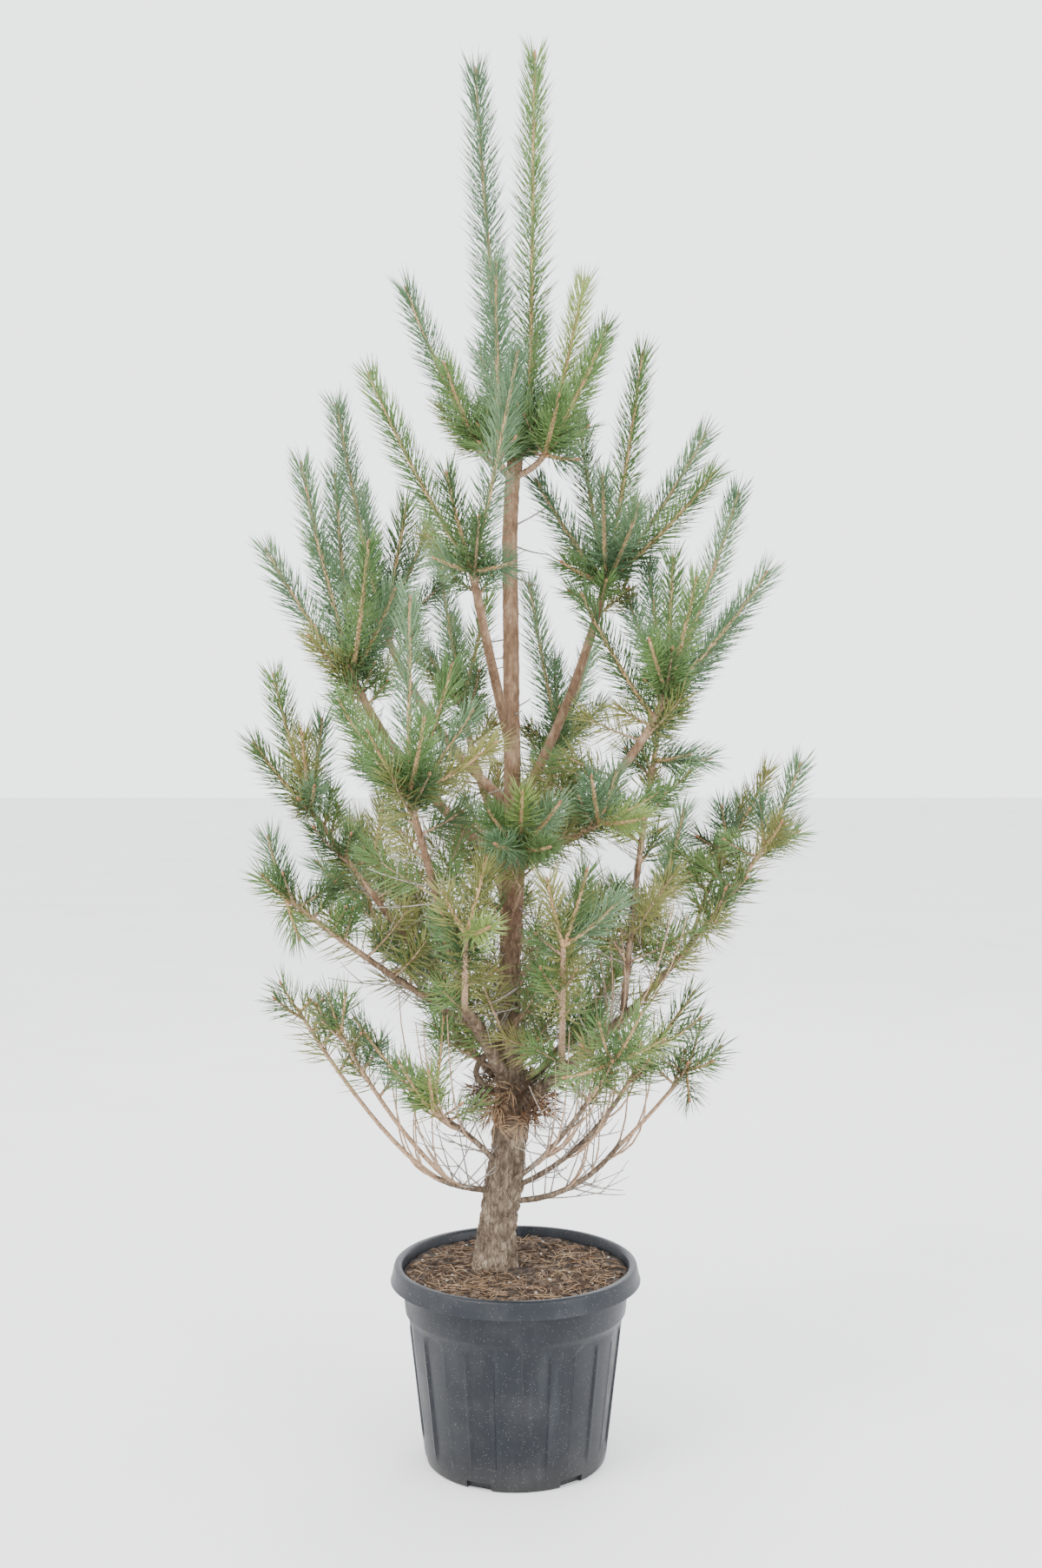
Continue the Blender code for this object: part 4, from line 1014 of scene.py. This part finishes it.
def old_twig(rng, root, turn, leaves, wood):
    length = rng.uniform(*OLD_LENGTH)
    path = shoot_curve(root, turn, rng.uniform(*OLD_LEAN), length)
    wood.add(twig_rows(path, *OLD_RADII, THIN_SKIN), BROWN)
    green = OLD_OLIVE if rng.random() < OLIVE_SHARE else MID_GREEN
    leaves.add(needle_rows(rng, path, OLD_BARE, 1.0, *OLD_NEEDLES), green)


def old_growth(rng, leaves, wood):
    for height in np.linspace(*OLD_TRUNK_SPAN, OLD_ON_TRUNK):
        turn = rng.uniform(0, 360)
        away = rng.uniform(*STALK_REACH)
        stalk = shoot_curve(trunk_point(height - away * STALK_DROP), turn, STALK_LEAN, away + STALK_EXTRA)
        wood.add(twig_rows(stalk, *STALK_RADII, THIN_SKIN), BROWN)
        old_twig(rng, stalk[2], turn + rng.uniform(*STALK_TURN), leaves, wood)
    for limb in LIMBS:
        if limb.bough > 0 and OLD_BOUGH_HEIGHTS[0] < limb.hub[2] < OLD_BOUGH_HEIGHTS[1]:
            for share in rng.uniform(*OLD_BOUGH_SPAN, OLD_ON_BOUGH) * limb.bough:
                root = curve_point(CURVES[limb.name], share)
                old_twig(rng, root, rng.uniform(0, 360), leaves, wood)


old_leaves = Batch()
old_wood = Batch()
old_growth(np.random.default_rng(OLD_SEED), old_leaves, old_wood)
old_needles = old_leaves.piece("old_needles", LIVE_AND_DEAD, smooth=False)
old_twigs = old_wood.piece("old_twigs", TWIG_FINISHES)
hand_over(old_needles, "needles")
hand_over(old_twigs, "bark")


# %% [markdown]
# ## Trunk and boughs
# The solids' trunk is a smooth tube. Real bark is plates between cracks, which
# catch light from the side, so here it is in the mesh: a fine tube whose surface
# is pushed in along the edges of stretched cells and roughened all over.

# %% Bark relief
# The wavering is drawn from the noise module's own seed, which is set here for every run
noise.seed_set(SPRAY_SEED)
CELL_WAVER = 0.45
WAVER_SCALE = 0.7
CRACK_WIDTH = 0.45
CRACK_LEVEL = 0.75
ROUGH_SCALE = 1.9
ROUGH_SHARE = 0.60
# A fractal's roughness, its step in scale and its number of layers
ROUGH_FRACTAL = (0.8, 2.1, 5)
# Up the tree the relief fades, over this stretch and by this share
SMOOTHER_FROM = 0.8
SMOOTHER_OVER = 0.5
SMOOTHER_BY = 0.6


def plate_relief(depth, scale, stretch):
    """How far each corner stands out, as a share of its radius."""
    def relief(points, out, size):
        shares = np.ones(size.shape)
        for row, column in np.ndindex(size.shape):
            x, y, z = points[row] + out[row, column] * size[row, column]
            cell = Vector((x * scale, y * scale, z * scale * stretch))
            cell += noise.noise_vector(cell * WAVER_SCALE) * CELL_WAVER
            near, far = noise.voronoi(cell)[0][:2]
            crack = min(1.0, (far - near) / CRACK_WIDTH)
            rough = noise.fractal(cell * ROUGH_SCALE, *ROUGH_FRACTAL)
            fade = 1.0 - SMOOTHER_BY * min(1.0, max(0.0, (z - SMOOTHER_FROM) / SMOOTHER_OVER))
            shares[row, column] = 1 + depth * fade * (crack - CRACK_LEVEL) + depth * ROUGH_SHARE * rough
        return shares
    return relief


def bark_piece(name, rows, *solids):
    batch = Batch()
    batch.add(rows)
    hand_over(batch.piece(name, [BARK]), "bark", *solids)


# %% Trunk with its root flare
TRUNK_PLATES = plate_relief(depth=0.12, scale=96.0, stretch=0.42)
TRUNK_COLUMNS = 72
PLATED_TO = 1.15
PLATED_ROWS, UPPER_ROWS = 250, 90
ROW_STEP = 0.004
EASE_ROWS = 9
LOBE_SHARE = 0.8


def eased(values):
    """A running mean, so that the table's corners don't show as rings."""
    padded = np.pad(values, EASE_ROWS // 2, mode="edge")
    return np.convolve(padded, np.ones(EASE_ROWS) / EASE_ROWS, mode="valid")


def trunk_relief(points, out, size):
    """The plates, and the root flare as lobes that fade out up the trunk's foot."""
    fade = np.clip((ROOT_FLARE_TOP - points[:, 2]) / (ROOT_FLARE_TOP - TRUNK[0][0]), 0, 1)[:, None]
    angle = np.arctan2(out[:, :, 1], out[:, :, 0])
    flare = 1 + ROOT_LOBE_DEPTH * fade * np.cos(ROOT_LOBES * angle) * LOBE_SHARE
    return TRUNK_PLATES(points, out, size) * flare


def trunk_rows():
    heights = np.concatenate([np.linspace(TRUNK[0][0], PLATED_TO, PLATED_ROWS),
                              np.linspace(PLATED_TO + ROW_STEP, TRUNK[-1][0], UPPER_ROWS)])
    known = np.array(TRUNK)
    sway_x, sway_y, radii = (eased(np.interp(heights, known[:, 0], known[:, column])) for column in (1, 2, 3))
    points = np.stack([sway_x, sway_y, heights], axis=1)
    headings = unit(np.gradient(points, axis=0))
    headings[0] = (0, 0, 1)
    return tube_rows(points, headings, radii, TRUNK_COLUMNS, trunk_relief)


bark_piece("bark_trunk", trunk_rows(), "trunk")

# %% Boughs
BOUGH_PLATES = plate_relief(depth=0.10, scale=120.0, stretch=0.6)
BOUGH_COLUMNS = 18
BOUGH_ROW_STEP = 0.0045
FEWEST_ROWS = 24
BOUGH_OVERLAP = 0.012

for limb in LIMBS:
    if limb.bough > 0:
        curve = CURVES[limb.name]
        rows = max(FEWEST_ROWS, int(curve_length(curve) / BOUGH_ROW_STEP))
        shares = np.linspace(0.0, min(1.0, limb.bough + BOUGH_OVERLAP), rows)
        radii = mixed(*limb.radii, shares)
        skin = tube_rows(*curve_rows(curve, shares), radii, BOUGH_COLUMNS, BOUGH_PLATES)
        bark_piece("bark_" + limb.name, skin, "bough_" + limb.name)

# %% [markdown]
# One dead limb at the main whorl curls back on itself and points down to the
# trunk it came from. It is a single bent tube with the boughs' relief.

# %% The curled limb
CURLED_LIMB = ((-0.030, -0.020, 0.708), (-0.105, -0.060, 0.674), (-0.022, -0.022, 0.628))
CURLED_RADII = (0.0045, 0.0062)
CURLED_ROWS, CURLED_COLUMNS = 40, 16

curled_way = curve_rows(CURLED_LIMB, np.linspace(0, 1, CURLED_ROWS))
curled_radii = np.linspace(*CURLED_RADII, CURLED_ROWS)
bark_piece("curled_limb", tube_rows(*curled_way, curled_radii, CURLED_COLUMNS, BOUGH_PLATES))


# %% [markdown]
# ## Dead twigs and caught needles
# Low on the tree many fine twigs are bare, some of them long and upright, and a few
# dry snags stand on the trunk higher up. Each kind is scattered by a short rule.

# %% Bare twigs
BARE_SEED = SPRAY_SEED + 40
BARE_BELOW, LOW_BELOW = 1.2, 0.8
BARE_COUNT, UPRIGHT_COUNT, SNAG_COUNT = 13, 6, 26
BARE_SPAN, UPRIGHT_SPAN, SNAG_HEIGHTS = (0.22, 0.98), (0.35, 1.0), (0.70, 1.60)
BARE_LENGTH, UPRIGHT_LENGTH, SNAG_LENGTH = (0.03, 0.15), (0.14, 0.30), (0.04, 0.12)
BARE_LEAN, UPRIGHT_LEAN, SNAG_LEAN = (15, 95), (8, 40), (55, 110)
BARE_RADII, UPRIGHT_RADII, SNAG_RADII = (0.0016, 0.0007), (0.0022, 0.0009), (0.0019, 0.0008)
# A bare twig forks once, at this share of its length
FORK_AT, FORK_LENGTH = 0.55, 0.5
FORK_TURN, FORK_LEAN = (30, 90), (20, 80)
FORK_RADII, FORK_SKIN = (0.0011, 0.0005), (5, 5)
# An upright twig leaves its bough nearly level and then turns up
UPRIGHT_TURN = (-45, 45)
UPRIGHT_KNEE_LEAN, UPRIGHT_KNEE = 75, 0.4
UPRIGHT_SKIN = (5, 9)


def forked_twig(rng, root, batch):
    turn = rng.uniform(0, 360)
    length = rng.uniform(*BARE_LENGTH)
    path = shoot_curve(root, turn, rng.uniform(*BARE_LEAN), length)
    batch.add(twig_rows(path, *BARE_RADII, THIN_SKIN), DEAD)
    fork_turn = turn + rng.uniform(*FORK_TURN)
    fork = shoot_curve(curve_point(path, FORK_AT), fork_turn, rng.uniform(*FORK_LEAN), length * FORK_LENGTH)
    batch.add(twig_rows(fork, *FORK_RADII, FORK_SKIN), DEAD)


def upright_twig(rng, root, out_turn, batch):
    turn = out_turn + rng.uniform(*UPRIGHT_TURN)
    length = rng.uniform(*UPRIGHT_LENGTH)
    tip = root + heading(turn, rng.uniform(*UPRIGHT_LEAN)) * length
    knee = root + heading(turn, UPRIGHT_KNEE_LEAN) * length * UPRIGHT_KNEE
    batch.add(twig_rows((root, knee, tip), *UPRIGHT_RADII, UPRIGHT_SKIN), BROWN)


def scatter_bare_twigs(rng):
    batch = Batch()
    hosts = [limb for limb in LIMBS if limb.hub[2] < BARE_BELOW and limb.bough > 0]
    for limb in hosts:
        for share in rng.uniform(*BARE_SPAN, BARE_COUNT) * limb.bough:
            forked_twig(rng, curve_point(CURVES[limb.name], share), batch)
    for limb in [limb for limb in hosts if limb.hub[2] < LOW_BELOW]:
        for share in rng.uniform(*UPRIGHT_SPAN, UPRIGHT_COUNT) * limb.bough:
            upright_twig(rng, curve_point(CURVES[limb.name], share), limb.hub[0], batch)
    for height in rng.uniform(*SNAG_HEIGHTS, SNAG_COUNT):
        turn, lean = rng.uniform(0, 360), rng.uniform(*SNAG_LEAN)
        snag = shoot_curve(trunk_point(height), turn, lean, rng.uniform(*SNAG_LENGTH))
        batch.add(twig_rows(snag, *SNAG_RADII, THIN_SKIN), DEAD)
    return batch


bare_twigs = scatter_bare_twigs(np.random.default_rng(BARE_SEED)).piece("bare_twigs", TWIG_FINISHES)
hand_over(bare_twigs, "bark")

# %% [markdown]
# Needles that fall inside the crown are caught where the main boughs leave the
# trunk and hang there in a nest. They are tufts with no twig, wound every way.

# %% The nest at the main whorl
NEST_SEED = SPRAY_SEED + 41
NEST_TUFTS = 58
NEST_HEIGHT = 0.625
NEST_SPAN, NEST_REACH = (-0.035, 0.03), (0.024, 0.052)
NEST_TURN, NEST_LEAN = (-90, 90), (60, 150)
TUFT_LENGTH = 0.035
# How far out they start, their length, pairs on a metre, and lean at the foot and at the tip
TUFT_NEEDLES = (0.001, 0.044, 240, (70, 10))
NEST_FINISHES = [*FALLEN, LIVE_AND_DEAD[DEAD_BROWN]]

nest = Batch()
nest_rng = np.random.default_rng(NEST_SEED)
for _ in range(NEST_TUFTS):
    turn = nest_rng.uniform(0, 360)
    on_trunk = trunk_point(NEST_HEIGHT + nest_rng.uniform(*NEST_SPAN))
    root = on_trunk + place(turn, nest_rng.uniform(*NEST_REACH), 0)
    path = shoot_curve(root, turn + nest_rng.uniform(*NEST_TURN), nest_rng.uniform(*NEST_LEAN), TUFT_LENGTH)
    finish = int(nest_rng.integers(0, len(NEST_FINISHES)))
    nest.add(needle_rows(nest_rng, path, 0.0, 1.0, *TUFT_NEEDLES), finish)
hand_over(nest.piece("caught_needles", NEST_FINISHES, smooth=False), "needles")


# %% [markdown]
# ## The container
# It is one thin turned wall with twelve shallow panels pressed in, a plain collar
# and a rolled skirt under the rim. A grid of angle and height gives the panels the
# fine lip and soft edges that the coarse solid can't show. Six notches are cut at
# the foot.

# %% The wall's turned profile and its panels
# Radius and height: up the inside, over the rim and skirt, down the wall, round the foot
POT_INSIDE = ((0.1530, 0.0180), (0.1790, 0.2440), (0.1845, 0.2560), (0.1910, 0.3100), (0.1925, 0.3330))
POT_TURNED = (
    (0.1955, 0.3368), (0.1985, 0.3374), (0.2030, 0.3370), (0.2056, 0.3352), (0.2066, 0.3325),
    (0.2085, 0.3240), (0.2112, 0.3120), (0.2125, 0.3088), (0.2112, 0.3080), (0.2088, 0.3110),
    (0.2040, 0.3190), (0.1985, 0.3190), (0.1935, 0.3140), (0.1925, 0.3105), (0.1900, 0.2850),
    (0.1878, 0.2600), (0.1872, 0.2566), (0.1850, 0.2548))
POT_WALL = ((0.1815, 0.2460), (0.1565, 0.0180))
POT_WALL_ROWS = 46
POT_FOOT = ((0.1560, 0.0150), (0.1540, 0.0050), (0.1530, 0.0020), (0.1510, 0.0))
POT_FLOOR = 0.003
POT_COLUMNS = 360
PANELS = 12
PANEL_EDGES = (3.75, 18.75)
PANEL_DEPTH = 0.0042
PANEL_TOP, PANEL_ARCH = 0.246, 0.012
PANEL_FOOT = (0.020, 0.050)
# How far each way a panel's side and its top take to fade, in degrees and metres
SIDE_FADE = (0.9, 0.5)
TOP_FADE = (0.006, 0.001)
# The lip round a panel: height, and its place and width beyond the edge in degrees
EDGE_LIP, LIP_OUT, LIP_WIDTH = 0.0010, 0.6, 0.55


def soft_step(value, low, high):
    share = np.clip((value - low) / (high - low), 0, 1)
    return share * share * (3 - 2 * share)


def panel_depth(angle, height):
    """How deep the wall is pressed in: full inside a panel, fading at its sides, foot and arched top."""
    middle = sum(PANEL_EDGES) / 2
    half = (PANEL_EDGES[1] - PANEL_EDGES[0]) / 2
    off = np.abs(np.mod(angle, 360 / PANELS) - middle)
    across = 1 - soft_step(off, half - SIDE_FADE[0], half + SIDE_FADE[1])
    arch = PANEL_TOP - PANEL_ARCH * (off / half) ** 2
    upper = 1 - soft_step(height, arch - TOP_FADE[0], arch + TOP_FADE[1])
    lower = soft_step(height, *PANEL_FOOT)
    lip = EDGE_LIP * np.exp(-((off - half - LIP_OUT) / LIP_WIDTH) ** 2) * upper * lower
    return PANEL_DEPTH * across * upper * lower - lip


print("panels:", PANELS, "of", PANEL_EDGES[1] - PANEL_EDGES[0], "degrees")


# %% The container's mesh
def mesh_of(bm, name):
    """A mesh of what the bmesh holds, which is freed."""
    mesh = bpy.data.meshes.new(name)
    bm.to_mesh(mesh)
    bm.free()
    return mesh


def around(count):
    """Each column of a ring with the one after it."""
    return [(column, (column + 1) % count) for column in range(count)]


def pot_mesh():
    (top_radius, top), (foot_radius, foot) = POT_WALL
    slope = (top_radius - foot_radius) / (top - foot)
    heights = np.linspace(top, foot, POT_WALL_ROWS)
    wall = [(foot_radius + (height - foot) * slope, height) for height in heights]
    angle = np.arange(POT_COLUMNS) * 360 / POT_COLUMNS
    bm = bmesh.new()
    rows = []
    for index, (radius, height) in enumerate([*POT_INSIDE, *POT_TURNED, *wall, *POT_FOOT]):
        outside = index >= len(POT_INSIDE)
        size = radius - (panel_depth(angle, height) if outside else np.zeros(POT_COLUMNS))
        x, y = size * np.cos(np.radians(angle)), size * np.sin(np.radians(angle))
        rows.append([bm.verts.new(corner) for corner in zip(x, y, [height] * POT_COLUMNS)])
    for low, high in zip(rows, rows[1:]):
        for column, after in around(POT_COLUMNS):
            bm.faces.new((low[column], low[after], high[after], high[column]))
    floor_inside = bm.verts.new((0, 0, POT_FLOOR))
    floor_outside = bm.verts.new((0, 0, 0))
    for column, after in around(POT_COLUMNS):
        bm.faces.new((rows[0][after], rows[0][column], floor_inside))
        bm.faces.new((rows[-1][column], rows[-1][after], floor_outside))
    bmesh.ops.recalc_face_normals(bm, faces=bm.faces)
    return mesh_of(bm, "container")


container = placed("container", pot_mesh())
print("container before its notches:", len(container.data.polygons), "faces")

# %% Notches at the foot
NOTCHES = 6
NOTCH_TURN = 7.0
NOTCH_SIZE = (0.018, 0.044, 0.026)
NOTCH_REACH = 0.153
SHARP_EDGE = math.radians(42)


def cut_notch(pot, turn):
    bm = bmesh.new()
    bmesh.ops.create_cube(bm, size=1.0)
    bmesh.ops.scale(bm, vec=NOTCH_SIZE, verts=bm.verts)
    cutter = placed("notch", mesh_of(bm, "notch"))
    cutter.location = (NOTCH_REACH * math.cos(turn), NOTCH_REACH * math.sin(turn), 0.0)
    cutter.rotation_euler.z = turn
    cut = pot.modifiers.new("Notch", "BOOLEAN")
    cut.operation = "DIFFERENCE"
    cut.solver = "MANIFOLD"
    cut.object = cutter
    bpy.context.view_layer.update()
    done = bpy.data.meshes.new_from_object(pot.evaluated_get(bpy.context.evaluated_depsgraph_get()))
    pot.modifiers.clear()
    pot.data = done
    bpy.data.objects.remove(cutter)


for index in range(NOTCHES):
    cut_notch(container, math.radians(NOTCH_TURN + index * 360 / NOTCHES))
container.data.materials.clear()
container.data.materials.append(POT_PLASTIC)
container.data.shade_smooth()
container.data.set_sharp_from_angle(angle=SHARP_EDGE)
hand_over(container, "pot_plastic", "pot")
print("container faces:", len(container.data.polygons))


# %% [markdown]
# ## The compost
# Its top is uneven, higher at the trunk and hidden under dry needles, crumbs of
# bark and a few light stones. The ground is one disc whose height is a sum of
# noises, and each kind of litter is joined into one piece that lies on it.

# %% Compost surface
SOIL_HEIGHT = 0.3222
SOIL_EDGE = 0.1905
SOIL_RINGS, SOIL_COLUMNS = 74, 220
SOIL_BELOW = 0.002
MOUND_HEIGHT, MOUND_REACH = 0.006, 0.09
LUMP_SCALE, LUMP_HEIGHT = 14, 0.0035
GRAIN_SCALE, GRAIN_HEIGHT = 5.0, 0.0022
GRAIN_FRACTAL = (0.7, 2.2, 5)
NOISE_LAYER = 3.1
SKIRT_SHARE, SKIRT_DEPTH = 0.985, 0.030
TRUNK_FOOT = trunk_point(TRUNK[0][0])


def soil_spot(radius, angle):
    x, y = radius * math.cos(angle), radius * math.sin(angle)
    rise = MOUND_HEIGHT * max(0.0, 1 - math.hypot(x - TRUNK_FOOT.x, y - TRUNK_FOOT.y) / MOUND_REACH)
    spot = Vector((x * LUMP_SCALE, y * LUMP_SCALE, NOISE_LAYER))
    lumps = LUMP_HEIGHT * noise.noise(spot)
    grain = GRAIN_HEIGHT * noise.fractal(spot * GRAIN_SCALE, *GRAIN_FRACTAL)
    return Vector((x, y, SOIL_HEIGHT - SOIL_BELOW + rise + lumps + grain))


def soil_mesh():
    corners = [soil_spot(0, 0)]
    for ring in range(1, SOIL_RINGS + 1):
        for column in range(SOIL_COLUMNS):
            corners.append(soil_spot(SOIL_EDGE * ring / SOIL_RINGS, column * math.tau / SOIL_COLUMNS))
    skirt = len(corners)
    for x, y, _ in corners[-SOIL_COLUMNS:]:
        corners.append(Vector((x * SKIRT_SHARE, y * SKIRT_SHARE, SOIL_HEIGHT - SKIRT_DEPTH)))
    columns = around(SOIL_COLUMNS)
    faces = [(0, 1 + column, 1 + after) for column, after in columns]
    for ring in range(SOIL_RINGS):
        low, high = 1 + ring * SOIL_COLUMNS, 1 + (ring + 1) * SOIL_COLUMNS
        faces += [(low + column, high + column, high + after, low + after) for column, after in columns]
    faces.append(tuple(skirt + column for column in reversed(range(SOIL_COLUMNS))))
    mesh = bpy.data.meshes.new("compost_surface")
    mesh.from_pydata(corners, [], faces)
    mesh.shade_smooth()
    return mesh


soil = placed("compost_surface", soil_mesh())
soil.data.materials.append(COMPOST)
hand_over(soil, "compost", "compost")
print("compost faces:", len(soil.data.polygons))

# %% Fallen needles
LITTER_SEED = SPRAY_SEED + 60
LEAST_AREA = 0.02
NEEDLE_REACH = 0.172
FALLEN_COUNT = 1050
FALLEN_LENGTH = (0.028, 0.055)
FALLEN_SLOPE = 7
FALLEN_RADII, FALLEN_SKIN = (0.0009, 0.0005), (3, 4)
ENDS_LIFT = Vector((0, 0, 0.0012))
MIDDLE_LIFT = (0.002, 0.006)
litter_rng = np.random.default_rng(LITTER_SEED)


def spot_on_soil(reach):
    radius = reach * math.sqrt(litter_rng.uniform(LEAST_AREA, 1.0))
    return soil_spot(radius, litter_rng.uniform(0, math.tau))


def fallen_needle():
    middle = spot_on_soil(NEEDLE_REACH)
    turn = litter_rng.uniform(0, 360)
    length = litter_rng.uniform(*FALLEN_LENGTH)
    half = heading(turn, 90 - litter_rng.normal(0, FALLEN_SLOPE)) * length / 2
    knee = middle + Vector((0, 0, litter_rng.uniform(*MIDDLE_LIFT)))
    return twig_rows((middle - half + ENDS_LIFT, knee, middle + half + ENDS_LIFT), *FALLEN_RADII, FALLEN_SKIN)


fallen = Batch()
for _ in range(FALLEN_COUNT):
    rows = fallen_needle()
    fallen.add(rows, int(litter_rng.integers(0, len(FALLEN))))
hand_over(fallen.piece("fallen_needles", FALLEN), "compost")

# %% [markdown]
# A crumb or a stone is a ball of a few faces with each corner moved in or out a
# little, flattened, turned and sunk into the ground by part of its height.

# %% Crumbs of bark and stones
CRUMB_REACH = 0.182
CRUMB_WIDTH = (0.5, 1.0)
CRUMB_ROUGH = 0.16
CRUMB_LIFT = 0.4
CRUMB_COUNT, CRUMB_SIZE, CRUMB_FLATNESS = 760, (0.0018, 0.0085), 0.40
STONE_COUNT, STONE_SIZE, STONE_FLATNESS = 70, (0.0018, 0.0045), 0.6


def crumb_batch(count, sizes, flatness):
    batch = Batch()
    bm = bmesh.new()
    bmesh.ops.create_icosphere(bm, subdivisions=1, radius=1.0)
    ball = np.array([vertex.co[:] for vertex in bm.verts])
    faces = np.array([[vertex.index for vertex in face.verts] for face in bm.faces])
    bm.free()
    for _ in range(count):
        middle = np.array(spot_on_soil(CRUMB_REACH))
        scale = litter_rng.uniform(*sizes) * np.array([1.0, litter_rng.uniform(*CRUMB_WIDTH), flatness])
        shape = ball * (1 + litter_rng.normal(0, CRUMB_ROUGH, (len(ball), 1))) * scale
        turn = litter_rng.uniform(0, math.tau)
        turned = shape.copy()
        turned[:, 0] = shape[:, 0] * math.cos(turn) - shape[:, 1] * math.sin(turn)
        turned[:, 1] = shape[:, 0] * math.sin(turn) + shape[:, 1] * math.cos(turn)
        batch.add((turned + middle + [0, 0, scale[2] * CRUMB_LIFT], faces))
    return batch


bark_bits = crumb_batch(CRUMB_COUNT, CRUMB_SIZE, CRUMB_FLATNESS)
stones = crumb_batch(STONE_COUNT, STONE_SIZE, STONE_FLATNESS)
hand_over(bark_bits.piece("bark_bits", [CRUMB], smooth=False), "compost")
hand_over(stones.piece("stones", [STONE]), "compost")


# %% [markdown]
# ## Floor
# A floor that curves up behind would hide the horizon, but a wide flat one under a
# pale sky is enough and takes the right soft shadow.

# %% Floor
FLOOR_HALF = 14.0
FLOOR_SQUARES = 8
FLOOR_DROP = 0.0005

bm = bmesh.new()
bmesh.ops.create_grid(bm, x_segments=FLOOR_SQUARES, y_segments=FLOOR_SQUARES, size=FLOOR_HALF)
floor = placed("floor", mesh_of(bm, "floor"))
floor.data.materials.append(FLOOR)
floor.location.z = -FLOOR_DROP
print("floor:", 2 * FLOOR_HALF, "m across")
